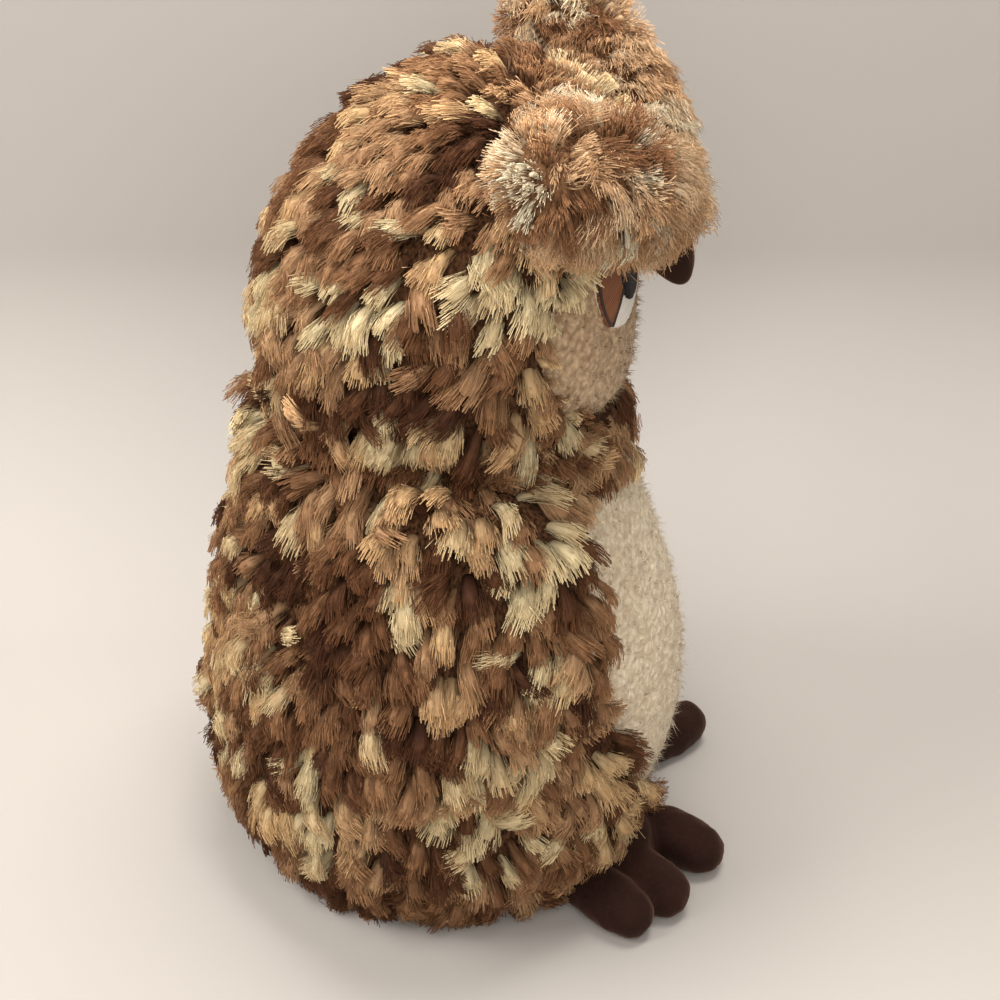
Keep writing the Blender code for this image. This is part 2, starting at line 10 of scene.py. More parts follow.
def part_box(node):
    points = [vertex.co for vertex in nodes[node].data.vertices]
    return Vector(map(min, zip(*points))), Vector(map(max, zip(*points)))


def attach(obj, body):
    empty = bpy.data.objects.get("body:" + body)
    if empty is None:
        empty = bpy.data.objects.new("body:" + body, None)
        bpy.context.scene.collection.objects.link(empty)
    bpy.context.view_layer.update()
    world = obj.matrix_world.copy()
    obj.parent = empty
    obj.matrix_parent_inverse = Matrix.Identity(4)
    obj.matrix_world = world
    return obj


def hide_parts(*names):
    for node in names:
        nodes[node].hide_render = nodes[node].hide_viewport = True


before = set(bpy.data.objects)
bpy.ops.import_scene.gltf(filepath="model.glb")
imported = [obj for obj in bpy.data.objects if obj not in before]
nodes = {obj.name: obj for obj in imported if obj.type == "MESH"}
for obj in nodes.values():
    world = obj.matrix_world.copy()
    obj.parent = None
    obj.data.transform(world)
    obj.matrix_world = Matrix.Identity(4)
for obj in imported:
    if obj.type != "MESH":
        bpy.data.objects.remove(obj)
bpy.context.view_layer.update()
everything = bpy.context.scene.collection


# The camera looks at the owl's right side from a little above, as in the photograph.
# It is a long lens close to the toy, so the head looks larger than the feet.
AIM = Vector((-0.011, -0.022, 0.149))
CAMERA_DISTANCE = 0.75
CAMERA_RISE = math.radians(30)
SENSOR_MM = 36.0
LENS_MM = 72.9
NEAREST_SEEN = 0.05
camera_data = bpy.data.cameras.new("camera")
camera_data.sensor_width = SENSOR_MM
camera_data.lens = LENS_MM
camera_data.clip_start = NEAREST_SEEN
camera = bpy.data.objects.new("camera", camera_data)
everything.objects.link(camera)
towards = Vector((-math.cos(CAMERA_RISE), 0.0, math.sin(CAMERA_RISE)))
camera.location = AIM + towards * CAMERA_DISTANCE
camera.rotation_euler = (-towards).to_track_quat("-Z", "Y").to_euler()
bpy.context.scene.camera = camera


# The table and wall are one pale paper sweep, curved up behind the owl without a line.
# It is matt and a little warm, and a camera behind it sees through it to the owl.
class Dye:
    """One socket of a material. Arithmetic on it adds Math nodes to that material."""

    def __init__(self, tree, socket=None):
        self.tree = tree
        self.socket = socket

    def node(self, kind, settings=None, inputs=None, output=0):
        """A node of any type: its settings first, then the values or links of its sockets."""
        made = self.tree.nodes.new(kind)
        for key, value in (settings or {}).items():
            if key == "stops":
                ramp = made.color_ramp
                while len(ramp.elements) < len(value):
                    ramp.elements.new(0.5)
                for element, (place, color) in zip(ramp.elements, value):
                    element.position = place
                    element.color = (*color, 1.0)
            else:
                setattr(made, key, value)
        for key, value in (inputs or {}).items():
            if isinstance(value, Dye):
                self.tree.links.new(value.socket, made.inputs[key])
            else:
                made.inputs[key].default_value = value
        return Dye(self.tree, made.outputs[output])

    def maths(self, operation, *values):
        """A Math node on this and other values."""
        return self.node("ShaderNodeMath", {"operation": operation}, dict(enumerate(values)))

    def __add__(self, other):
        return self.maths("ADD", self, other)

    __radd__ = __add__

    def __mul__(self, other):
        return self.maths("MULTIPLY", self, other)

    __rmul__ = __mul__

    def __sub__(self, other):
        return self.maths("SUBTRACT", self, other)

    def __rsub__(self, other):
        return self.maths("SUBTRACT", other, self)

    def clamped(self):
        """The value, kept between nought and one."""
        return self.maths("MAXIMUM", self.maths("MINIMUM", self, 1.0), 0.0)


def new_dye(name):
    """An empty material with only its Principled shader, and the hand that paints it."""
    material = bpy.data.materials.new(name)
    material.use_nodes = True
    return material, Dye(material.node_tree), material.node_tree.nodes["Principled BSDF"]


def surface(name, points, faces):
    """A mesh object of points and equal-sided faces, shaded smooth."""
    mesh = bpy.data.meshes.new(name)
    mesh.from_pydata(points.tolist(), [], faces.tolist())
    mesh.shade_smooth()
    item = bpy.data.objects.new(name, mesh)
    everything.objects.link(item)
    return item


def grid_faces(rows, columns):
    """The quads of a grid of points, row by row."""
    index = np.arange(rows * columns).reshape(rows, columns)
    quads = (index[:-1, :-1], index[:-1, 1:], index[1:, 1:], index[1:, :-1])
    return np.stack([corner.ravel() for corner in quads], 1)


def sweep_points(back, radius, reach, steps=25):
    """Profile: flat floor, a quarter round of a radius, then a straight wall; carried sideways."""
    turn = np.linspace(0.0, math.pi / 2, steps)
    run = np.concatenate(([-reach], back + radius * np.sin(turn), [back + radius]))
    rise = np.concatenate(([0.0], radius - radius * np.cos(turn), [reach]))
    across = np.linspace(-reach, reach, 3)
    points = np.stack(np.broadcast_arrays(run[:, None], across[None, :], rise[:, None]), -1)
    return points.reshape(-1, 3), len(run), len(across)


PAPER_BACK = 0.11
PAPER_ROUND = 0.14
PAPER_REACH = 2.0
PALE_PAPER = (0.455, 0.424, 0.390, 1.0)
points, rows, columns = sweep_points(PAPER_BACK, PAPER_ROUND, PAPER_REACH)
paper = surface("paper_sweep", points, grid_faces(rows, columns)[:, ::-1])
paper_material, dye, paper_shader = new_dye("pale_paper")
paper_shader.inputs["Base Color"].default_value = PALE_PAPER
paper_shader.inputs["Roughness"].default_value = 0.9
behind = dye.node("ShaderNodeNewGeometry", output=6) * dye.node("ShaderNodeLightPath", output=0)
clear = dye.node("ShaderNodeBsdfTransparent")
matt = Dye(dye.tree, paper_shader.outputs["BSDF"])
one_sided = dye.node("ShaderNodeMixShader", {}, {0: behind, 1: matt, 2: clear})
dye.tree.links.new(one_sided.socket, dye.tree.nodes["Material Output"].inputs["Surface"])
paper.data.materials.append(paper_material)


# The light is that of a bright room: a window high on the left of the picture, a pale
# ceiling, and a weak light from the camera's side, with a little from all round.
def soft_light(name, place, target, size, watts, color):
    """A large square light that points from its place at a target."""
    data = bpy.data.lights.new(name, "AREA")
    data.size = size
    data.energy = watts
    data.color = color
    light = bpy.data.objects.new(name, data)
    light.location = place
    aim = Vector(target) - Vector(place)
    light.rotation_euler = aim.to_track_quat("-Z", "Y").to_euler()
    everything.objects.link(light)


DAYLIGHT = (1.0, 0.975, 0.945)
ROOM_LIGHT = (1.0, 0.965, 0.93)
SKY_LIGHT = (1.0, 0.97, 0.94, 1.0)
SKY_STRENGTH = 0.28
soft_light("window", (-0.35, 0.95, 1.2), (0.0, 0.0, 0.15), size=0.8, watts=18.5, color=DAYLIGHT)
soft_light("ceiling", (0.18, -0.15, 1.5), (0.0, 0.0, 0.0), size=0.7, watts=25.0, color=DAYLIGHT)
soft_light("room", (-1.0, -0.1, 0.85), (0.0, 0.0, 0.13), size=0.9, watts=9.0, color=ROOM_LIGHT)
world = bpy.data.worlds.new("room")
world.use_nodes = True
world.node_tree.nodes["Background"].inputs["Color"].default_value = SKY_LIGHT
world.node_tree.nodes["Background"].inputs["Strength"].default_value = SKY_STRENGTH
bpy.context.scene.world = world
bpy.context.scene.view_settings.view_transform = "Standard"


# The body's plush: cut and sewn long-pile cloth, dyed in cream, tan and brown patches.
# Its yarns hang together in flat blunt locks that lie downwards over one another.
def unit(vectors):
    """Vectors scaled to length one."""
    return vectors / np.maximum(np.linalg.norm(vectors, axis=-1, keepdims=True), 1e-9)


def cloth_triangles(node):
    """Corner points and normals, both as arrays, of a CAD solid's triangles."""
    mesh = nodes[node].data
    mesh.calc_loop_triangles()
    points = np.empty(len(mesh.vertices) * 3)
    mesh.vertices.foreach_get("co", points)
    index = np.empty(len(mesh.loop_triangles) * 3, np.int64)
    mesh.loop_triangles.foreach_get("vertices", index)
    corners = points.reshape(-1, 3)[index.reshape(-1, 3)]
    normals = np.cross(corners[:, 1] - corners[:, 0], corners[:, 2] - corners[:, 0])
    return corners, normals


AT_A_TIME = 800
STREWN_PER_PLACE = 5
SIFTING_ROUNDS = 9


def spread_roots(corners, normals, spacing, seed):
    """Points spread over triangles, no two nearer than a spacing.

    Many points are strewn by area, and their order is their rank. In each round a point
    stays if no better-ranked point lies nearer than the spacing, and what lies near it goes.
    """
    rng = np.random.default_rng(seed)
    area = np.linalg.norm(normals, axis=1) / 2
    count = int(area.sum() / spacing ** 2 * STREWN_PER_PLACE)
    pick = np.searchsorted(np.cumsum(area) / area.sum(), rng.random(count))
    first, second = rng.random((2, count, 1))
    fold = first + second > 1
    first, second = np.where(fold, 1 - first, first), np.where(fold, 1 - second, second)
    tri = corners[pick]
    points = tri[:, 0] + first * (tri[:, 1] - tri[:, 0]) + second * (tri[:, 2] - tri[:, 0])
    facing = unit(normals[pick])
    kept = np.zeros(count, bool)
    open_points = np.arange(count)
    for _ in range(SIFTING_ROUNDS):
        stays = np.zeros(len(open_points), bool)
        near_kept = np.zeros(len(open_points), bool)
        here = points[open_points]
        for start in range(0, len(open_points), AT_A_TIME):
            part = slice(start, start + AT_A_TIME)
            apart = ((here[part, None] - here[None]) ** 2).sum(-1)
            better = np.arange(len(here))[None] < np.arange(len(here))[part, None]
            stays[part] = ~((apart < spacing ** 2) & better).any(1)
        chosen = here[stays]
        for start in range(0, len(open_points), AT_A_TIME):
            part = slice(start, start + AT_A_TIME)
            apart = ((here[part, None] - chosen[None]) ** 2).sum(-1)
            near_kept[part] = (apart < spacing ** 2).any(1)
        kept[open_points[stays]] = True
        open_points = open_points[~near_kept]
    return points[kept], facing[kept]


def dye_patches(points, spacing, shades, loose, seed):
    """The shade of each point: that of the nearest of many strewn dye spots, or a loose one."""
    rng = np.random.default_rng(seed)
    low, high = points.min(0) - spacing, points.max(0) + spacing
    spots = low + rng.random((int(np.prod((high - low) / spacing)), 3)) * (high - low)
    shade = rng.choice(np.array(shades), len(spots))
    nearest = np.empty(len(points), np.int64)
    for start in range(0, len(points), AT_A_TIME):
        part = slice(start, start + AT_A_TIME)
        nearest[part] = ((points[part, None] - spots[None]) ** 2).sum(-1).argmin(1)
    strays = rng.random(len(points)) < loose
    return np.where(strays, rng.choice(np.array(shades), len(points)), shade[nearest])


def in_slot(material):
    """A material, passed on as it is."""
    return material


def wear(piece, material):
    """Give a piece its material."""
    piece.data.materials.append(material)


def new_piece(name, points, triangles, values, cells, material, body):
    """A closed mesh piece with numbers on its points and its own map for baking."""
    mesh = bpy.data.meshes.new(name)
    mesh.vertices.add(len(points))
    mesh.vertices.foreach_set("co", points.astype(np.float32).ravel())
    mesh.loops.add(triangles.size)
    mesh.loops.foreach_set("vertex_index", triangles.astype(np.int32).ravel())
    mesh.polygons.add(len(triangles))
    mesh.polygons.foreach_set("loop_start", np.arange(0, triangles.size, 3, dtype=np.int32))
    mesh.update(calc_edges=True)
    for key, value in values.items():
        attribute = mesh.attributes.new(key, "FLOAT", "POINT")
        attribute.data.foreach_set("value", np.ascontiguousarray(value, np.float32).ravel())
    layer = mesh.uv_layers.new(name="OFBake")
    layer.data.foreach_set("uv", cells.astype(np.float32).ravel())
    mesh.shade_smooth()
    item = bpy.data.objects.new(name, mesh)
    everything.objects.link(item)
    wear(item, material)
    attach(item, body)
    return item


def own_cells(one, total, tall):
    """Map places of many like pieces, each in a cell of its own, from those of one piece.

    The cells fill the map in rows, and each is so many times as tall as it is wide.
    """
    columns = max(1, int(math.ceil(math.sqrt(total * tall))))
    rows = int(math.ceil(total / columns))
    number = np.arange(total)
    corner = np.stack((number % columns, number // columns), 1)[:, None]
    return (corner + one[None]) / np.array([columns, rows])


class Locks:
    """The locks of a cloth's pile: their roots, the way they lie, their sizes and shades.

    A lock's middle line is a quadratic bend. It leaves the cloth steeply and leans over
    along the lie, or stands up where it is told to, and it is an oval in section that
    opens out towards the tip.
    """

    middle_ahead_share = 0.42
    tip_ahead_share = 0.95
    standing_loss_share = 0.9
    core_floor = 0.0005
    strand_floor = 0.0004

    def __init__(self, roots, facing, lie, length, width, shade, look, seed, stand=0.0):
        rng = np.random.default_rng(seed)
        self.roots, self.facing, self.length, self.width = roots, facing, length, width
        self.lie = unit(lie - (lie * facing).sum(1, keepdims=True) * facing)
        self.side = np.cross(self.lie, facing)
        self.shade, self.look, self.seed = shade, look, seed
        self.stand = np.broadcast_to(stand, length.shape)
        self.back = unit(facing * (1 - self.stand[:, None]) - self.lie * self.stand[:, None])
        self.rise = look["rise"] * (0.7 + 0.6 * rng.random(len(roots))) + 0.1 * self.stand
        self.settle = look["settle"] * (0.5 + rng.random(len(roots))) + 0.5 * self.stand
        self.bend = look["curl"] * rng.standard_normal(len(roots))
        self.tone = rng.random(len(roots))

    def some(self, chosen):
        """The chosen ones of these locks."""
        picked = object.__new__(Locks)
        for key, value in vars(self).items():
            setattr(picked, key, value[chosen] if isinstance(value, np.ndarray) else value)
        return picked

    def placed(self, t, across, deep):
        """Points at shares of the middle lines, at offsets in shares of a lock's half width."""
        shape = (-1,) + (1,) * (t.ndim - 1)
        look, vector = self.look, shape + (3,)
        length, stand = self.length.reshape(shape), self.stand.reshape(shape)
        opened = look["root"] + (look["fan"] - look["root"]) * np.clip(t, 0, 1.2) ** look["spread"]
        half = self.width.reshape(shape) / 2 * opened
        middle, tip = 2 * t * (1 - t), t ** 2
        ahead = middle * self.middle_ahead_share + tip * self.tip_ahead_share
        ahead = ahead * (1.0 - self.standing_loss_share * stand) * length
        up = (middle * self.rise.reshape(shape) + tip * self.settle.reshape(shape)) * length
        up = up - look["sink"] * (1 - t)
        sideways = self.bend.reshape(shape) * length * tip + across * half
        points = (
            self.roots.reshape(vector)
            + ahead[..., None] * self.lie.reshape(vector)
            + up[..., None] * self.facing.reshape(vector)
            + sideways[..., None] * self.side.reshape(vector)
            + (deep * half * look["flat"])[..., None] * self.back.reshape(vector)
        )
        points[..., 2] = np.maximum(points[..., 2], self.core_floor)
        return points

    def cores(self, name, material, body):
        """The thick of each lock: four rings of six points, drawn in to a point at both ends.

        Each ring lies at a share of the lock's line and has a share of its width. The rings
        are joined by triangles, and each lock has a cell of the map, six steps across and
        five up. Standing locks have shorter cores, so that their strands hide them.
        """
        rng = np.random.default_rng(self.seed + 1)
        locks = len(self.roots)
        line_shares = np.array([0.00, 0.10, 0.34, 0.58, 0.74, 0.82])
        width_shares = np.array([0.0, 0.62, 0.66, 0.60, 0.46, 0.0])[None, :, None]
        turn = math.tau * np.arange(6) / 6
        t = np.tile(line_shares[None, :, None], (locks, 1, 6))
        t = t * (1.0 - 0.6 * self.stand[:, None, None]) * (0.55 + 0.45 * self.look["core"])
        uneven = self.look["core"] * (0.85 + 0.3 * rng.random((locks, 1, 6)))
        across = np.cos(turn)[None, None] * width_shares * uneven
        deep = np.sin(turn)[None, None] * width_shares * uneven
        rings = self.placed(t, across, deep)
        sides = rings[:, 1:5].reshape(locks, 24, 3)
        points = np.concatenate((rings[:, :1, 0], sides, rings[:, 5:, 0]), 1)
        k = np.arange(6)
        after = (k + 1) % 6
        bands = [((0 * k, 1 + k, 1 + after), (k + 0.5, k, k + 1), (0, 1, 1))]
        for row in (1, 2, 3):
            a, b = 6 * row - 5 + k, 6 * row - 5 + after
            bands.append(((a, a + 6, b), (k, k, k + 1), (row, row + 1, row)))
            bands.append(((b, a + 6, b + 6), (k + 1, k, k + 1), (row, row + 1, row + 1)))
        bands.append(((25 + 0 * k, 19 + after, 19 + k), (k + 0.5, k + 1, k), (5, 4, 4)))
        one = np.concatenate([np.stack(corners, 1) for corners, _, _ in bands])
        columns = np.concatenate([np.stack(column, 1) for _, column, _ in bands])
        rows = np.concatenate([np.tile(row, (6, 1)) for _, _, row in bands])
        cell = np.stack((0.05 + 0.15 * columns, 0.05 + 0.18 * rows), -1).reshape(-1, 2)
        triangles = (one[None] + 26 * np.arange(locks)[:, None, None]).reshape(-1, 3)
        cells = own_cells(cell, locks, 1.0)
        along = np.concatenate((line_shares[:1], np.repeat(line_shares[1:5], 6), line_shares[5:]))
        values = {
            "shade": np.repeat(self.shade, 26),
            # Painted shade: the cores' along values are drawn in, so their colour is darker than
            # that of the strands over them.
            "along": np.tile(along * 0.7, locks),
            "strand": rng.random(locks * 26),
            "lock": np.repeat(self.tone, 26),
        }
        return new_piece(name, points.reshape(-1, 3), triangles, values, cells, material, body)

    def strands(self, name, material, body):
        """Fine closed strands over the cores, each a point at one end and a triangle at the other.

        A strand runs straight from one share of its lock's line to a later one, at its own
        offset in the section. Many end at the blunt tip of the lock, as cut pile does. They
        lie over the top and sides of a lying lock, and all round a standing one.
        """
        rng = np.random.default_rng(self.seed + 2)
        look, locks, each = self.look, len(self.roots), self.look["strands"]
        turn = math.pi * ((1.4 + 0.6 * self.stand[:, None]) * rng.random((locks, each)) - 0.2)
        out = 0.30 + 0.75 * rng.random((locks, each)) ** 0.7
        across, deep = out * np.cos(turn), out * np.sin(turn)
        at_tip = rng.random((locks, each)) < look["at_tip"]
        begin = look["start"] * (np.where(at_tip, 1.2, 0.13) + rng.random((locks, each)))
        ragged = look["ragged"] * (rng.random((locks, each)) - 0.6)
        tip = 1.0 - 0.16 * across ** 2 + ragged
        middle = begin + 0.38 + 0.14 * rng.random((locks, each))
        end = np.where(at_tip, tip, middle)
        wild = np.where(rng.random((locks, each)) < look["wild"], 5.0, 1.0) * look["stray"]
        drift = rng.standard_normal((2, locks, each)) * wild / self.width[:, None] * 2
        low = self.placed(begin, across, deep)
        high = self.placed(end, across + drift[0], deep + np.abs(drift[1]))
        blunt = (rng.random((locks, each)) < look["blunt"])[..., None]
        thick_end, point = np.where(blunt, high, low), np.where(blunt, low, high)
        thick = look["thick"] / 2 * (0.7 + 0.6 * rng.random((locks, each, 1, 1)))
        corner = math.tau * (np.arange(3) / 3 + rng.random((locks, each, 1)))[..., None]
        ring = thick_end[:, :, None] + thick * (
            np.cos(corner) * self.side[:, None, None] + np.sin(corner) * self.back[:, None, None]
        )
        total = locks * each
        points = np.concatenate((ring, point[:, :, None]), 2).reshape(-1, 3)
        points[:, 2] = np.maximum(points[:, 2], self.strand_floor)
        k = np.arange(3)
        after = (k + 1) % 3
        last = np.full(3, 3)
        tip_blunt = np.concatenate((np.stack((k, after, last), 1), [[2, 1, 0]]))
        root_blunt = np.concatenate((np.stack((after, k, last), 1), [[0, 1, 2]]))
        pattern = np.where(blunt.reshape(total, 1, 1), tip_blunt, root_blunt)
        triangles = (pattern + 4 * np.arange(total)[:, None, None]).reshape(-1, 3)
        left = 0.05 + 0.3 * k
        columns = np.stack((left, left + 0.3, left + 0.15), 1)
        sides = np.stack((columns, np.tile([0.14, 0.14, 0.96], (3, 1))), -1)
        cap = np.array([[0.1, 0.02], [0.9, 0.02], [0.5, 0.11]])
        cells = own_cells(np.concatenate((sides.reshape(-1, 2), cap)), total, 3.0)
        far, near = np.where(blunt[..., 0], end, begin), np.where(blunt[..., 0], begin, end)
        values = {
            "shade": np.repeat(self.shade, each * 4),
            "along": np.stack((far, far, far, near), -1),
            "strand": np.repeat(rng.random(total), 4),
            "lock": np.repeat(self.tone, each * 4),
        }
        return new_piece(name, points, triangles, values, cells, material, body)

    def strands_in_parts(self, name, parts, material, body):
        """The strands as several pieces, each a sector round the toy's upright axis."""
        around = np.argsort(np.arctan2(self.roots[:, 0], -self.roots[:, 1]))
        for number, chosen in enumerate(np.array_split(around, parts), 1):
            self.some(chosen).strands(f"{name}_{number}", material, body)


def connect(dye, shader, **inputs):
    """Link worked-out colours and numbers to the sockets of a shader."""
    for key, value in inputs.items():
        dye.tree.links.new(value.socket, shader.inputs[key.replace("_", " ")])


def fur_dye(name, stops, root_share):
    """Dyed yarn: a colour by the lock's shade, a little unlike in each strand, darkened towards the
    root as painted shade.
    """
    material, dye, shader = new_dye(name)
    shade = dye.node("ShaderNodeAttribute", {"attribute_name": "shade"}, output=2)
    along = dye.node("ShaderNodeAttribute", {"attribute_name": "along"}, output=2)
    strand = dye.node("ShaderNodeAttribute", {"attribute_name": "strand"}, output=2)
    lock = dye.node("ShaderNodeAttribute", {"attribute_name": "lock"}, output=2)
    place = dye.node("ShaderNodeTexCoord", output=3)
    cloud = dye.node("ShaderNodeTexNoise", {}, {"Vector": place, "Scale": 240.0, "Detail": 2.0})
    level = shade + (strand - 0.5) * 0.13 + (lock - 0.5) * 0.08 + (cloud - 0.5) * 0.16
    color = dye.node("ShaderNodeValToRGB", {"stops": stops}, {"Fac": level.clamped()})
    # Painted shade: each strand's colour darkens from its tip to the root share at its root, where
    # the locks shade one another.
    light = root_share + along.clamped() * (1.0 - root_share) + strand * 0.14 - 0.04
    darker = dye.node("ShaderNodeVectorMath", {"operation": "SCALE"}, {0: color, "Scale": light})
    connect(dye, shader, Base_Color=darker, Roughness=0.66 + strand * 0.18)
    shader.inputs["Specular IOR Level"].default_value = 0.15
    return material


SAME_POINT = 0.00002


def cover_copy(name, node):
    """A piece with the form of a CAD solid, its loose triangles merged."""
    mesh = bpy.data.meshes.new(name)
    item = bpy.data.objects.new(name, mesh)
    everything.objects.link(item)
    bm = bmesh.new()
    bm.from_mesh(nodes[node].data)
    bmesh.ops.remove_doubles(bm, verts=bm.verts, dist=SAME_POINT)
    bm.to_mesh(mesh)
    bm.free()
    mesh.materials.clear()
    mesh.shade_smooth()
    return item


def cloth_backing(name, node, material, body):
    """The cloth that a piece's pile grows from, in the place of its CAD solid."""
    backing = cover_copy(name, node)
    wear(backing, material)
    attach(backing, body)
    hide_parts(node)
    return backing


MOTTLED = (
    (0.00, (0.085, 0.030, 0.013)),
    (0.22, (0.210, 0.088, 0.038)),
    (0.42, (0.440, 0.225, 0.105)),
    (0.60, (0.680, 0.410, 0.215)),
    (0.78, (0.900, 0.590, 0.295)),
    (1.00, (1.000, 0.820, 0.490)),
)
SHADES = (
    0.06, 0.16, 0.24, 0.32, 0.38, 0.42, 0.46, 0.50,
    0.56, 0.62, 0.70, 0.80, 0.88, 0.94, 1.0, 1.0,
)
plush_yarn = in_slot(fur_dye("mottled_yarn", MOTTLED, root_share=0.30))


def mix_colors(dye, share, first, second):
    """A colour between two, by a share."""
    colors = {"Factor": share, 6: first, 7: second}
    return dye.node("ShaderNodeMix", {"data_type": "RGBA"}, colors, output=2)


def shaded_backing_dye(name, pale, deep):
    """The cloth between the locks, painted near black as the shade deep between them, with fine
    streaks drawn out downwards.
    """
    material, dye, shader = new_dye(name)
    place = dye.node("ShaderNodeTexCoord", output=3)
    drawn = dye.node(
        "ShaderNodeVectorMath", {"operation": "MULTIPLY"}, {0: place, 1: (1.0, 1.0, 0.3)}
    )
    matted = dye.node("ShaderNodeTexNoise", {}, {"Vector": drawn, "Scale": 900.0, "Detail": 4.0})
    color = mix_colors(dye, (matted * 2.4 - 0.8).clamped(), (*deep, 1.0), (*pale, 1.0))
    bump = dye.node("ShaderNodeBump", {}, {"Strength": 1.0, "Distance": 0.0010, "Height": matted})
    connect(dye, shader, Base_Color=color, Normal=bump)
    shader.inputs["Roughness"].default_value = 0.95
    shader.inputs["Specular IOR Level"].default_value = 0.1
    return material


# The plush backing is painted dark as the shade in the gaps between the locks.
plush_backing = in_slot(
    shaded_backing_dye("plush_backing", pale=(0.170, 0.078, 0.036), deep=(0.014, 0.006, 0.003)),
)
LONG_PILE = {
    "strands": 112, "flat": 0.66, "ragged": 0.20, "curl": 0.20, "rise": 0.60, "settle": 0.26,
    "stray": 0.00026, "root": 0.50, "fan": 1.12, "spread": 0.8, "sink": 0.0016,
    "thick": 0.00037, "blunt": 0.70, "wild": 0.05, "at_tip": 0.58, "start": 0.30, "core": 1.0,
}


def tree_of(*names):
    """The surfaces of CAD solids together, to be found by rays."""
    corners = np.concatenate([cloth_triangles(node)[0] for node in names])
    index = np.arange(corners.size // 3).reshape(-1, 3)
    return BVHTree.FromPolygons(corners.reshape(-1, 3).tolist(), index.tolist())


def distances(tree, points):
    """How far each point is from a surface."""
    return np.array([tree.find_nearest(Vector(point))[3] for point in points])


def nearness(tree, points, gap, reach):
    """One up to a gap from a surface, then less in a straight line, to nought at the reach."""
    return np.clip(1.0 - (distances(tree, points) - gap) / reach, 0.0, 1.0)


def outwardness(corners, normals, middle):
    """How far each triangle looks away from a middle: the cosine of the angle between the two."""
    return (unit(normals) * unit(corners.mean(1) - middle)).sum(1)


EDGE_SPACING = 0.0052
EDGE_DEPTH = 0.0065


def with_edge(roots, facing, cover, panel, middle, seed):
    """Places on a cover and short ones more on its cut edge, all round a panel set into it.

    A triangle belongs to the edge where it looks sideways and lies near the panel.
    """
    corners, normals = cloth_triangles(cover)
    sideways = np.abs(outwardness(corners, normals, middle)) < 0.45
    keep = sideways & (distances(tree_of(panel), corners.mean(1)) < EDGE_DEPTH)
    edge_roots, edge_facing = spread_roots(corners[keep], normals[keep], EDGE_SPACING, seed)
    on_edge = np.arange(len(roots) + len(edge_roots)) >= len(roots)
    return np.concatenate((roots, edge_roots)), np.concatenate((facing, edge_facing)), on_edge


rng = np.random.default_rng(5)


def uneven_lengths(length, count):
    """Lengths by chance, from 0.8 to 1.2 of the given ones."""
    return length * (0.8 + 0.4 * rng.random(count))


def uneven_widths(width, count):
    """Widths by chance, from 0.75 to 1.35 of the given one."""
    return width * (0.75 + 0.6 * rng.random(count))


BODY_MIDDLE = np.array([0.0, -0.006, 0.105])
BELLY = np.array([0.0, -0.100, 0.105])
DOWN = np.array([0.0, 0.0, -1.0])
LOCK_SPACING = 0.0058
LOCK_LENGTH = 0.0170
LOCK_WIDTH = 0.0094
DYE_PATCH = 0.0150
SEAM_GAP = 0.0012
HEAD_SHADOW = 0.009
PANEL_GAP = 0.002
PANEL_REACH = 0.010
corners, normals = cloth_triangles("body_cover")
head_tree = tree_of("head_cover")
keep = outwardness(corners, normals, BODY_MIDDLE) > 0.4
keep &= distances(head_tree, corners.mean(1)) > SEAM_GAP
roots, facing = spread_roots(corners[keep], normals[keep], LOCK_SPACING, seed=11)
roots, facing, on_edge = with_edge(roots, facing, "body_cover", "bib_panel", BODY_MIDDLE, seed=18)

# Where the wings press on the body its locks are short, as they are at the hem. Over a wing's seam
# they are longer, and in the shadow of the head or of a wing, and low at the hem, their colour is
# darkened as painted shade.
WING_MARGIN = 0.005
WING_REAR = 0.010
WING_SIDE = 0.030
SHOULDER_DEPTH = 0.030
WING_SEAM_DEPTH = 0.016
WING_SEAM_EXTRA = 0.005
PRESSED_LENGTH = 0.0080
WING_REAR_LENGTH = 0.010
HEM_TOP = 0.045
HEM_HEIGHT = 0.03
HEM_LOSS = 0.005
wing_low, wing_high = (np.array(corner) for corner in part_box("wing_right"))
wing_middle, wing_half = (wing_low + wing_high) / 2, (wing_high - wing_low) / 2
under_head = nearness(head_tree, roots, SEAM_GAP, HEAD_SHADOW)
wing_oval = (((roots[:, 1:] - wing_middle[1:]) / (wing_half[1:] - WING_MARGIN)) ** 2).sum(1)
behind_wing = (wing_oval > 0.9) & (wing_oval < 2.1) & (roots[:, 1] > wing_middle[1] + WING_REAR)
behind_wing &= roots[:, 2] < wing_high[2] - SHOULDER_DEPTH
under_wing = (wing_oval < 1.0) & (np.abs(roots[:, 0]) > WING_SIDE)
over_wing = np.abs(roots[:, 1] - wing_middle[1]) < wing_half[1]
over_wing &= (roots[:, 2] > wing_high[2] - WING_SEAM_DEPTH) & ~under_wing
hem = np.clip((HEM_TOP - roots[:, 2]) / HEM_HEIGHT, 0.0, 1.0)
length = uneven_lengths(LOCK_LENGTH - HEM_LOSS * hem, len(roots))
length = np.where(under_wing, PRESSED_LENGTH, length) + np.where(over_wing, WING_SEAM_EXTRA, 0.0)
length = np.where(behind_wing, WING_REAR_LENGTH, length * (1.0 - 0.3 * under_head))
length = length * np.where(on_edge, 0.55, 1.0)
width = uneven_widths(LOCK_WIDTH, len(roots)) * np.where(under_wing, 0.7, 1.0)
lie = DOWN + 0.38 * rng.standard_normal((len(roots), 3))
by_bib = nearness(tree_of("bib_panel"), roots, PANEL_GAP, PANEL_REACH)[:, None]
lie = lie + 0.8 * by_bib * unit(BELLY - roots)
length = length * (1.0 - 0.4 * by_bib[:, 0])
shade = dye_patches(roots, DYE_PATCH, SHADES, loose=0.16, seed=3)
# Painted shade: low on the body, near the floor, the locks' colour is darkened and its range
# narrowed.
shade = np.where(hem > 0.3, 0.24 + 0.50 * (shade - 0.30), shade)
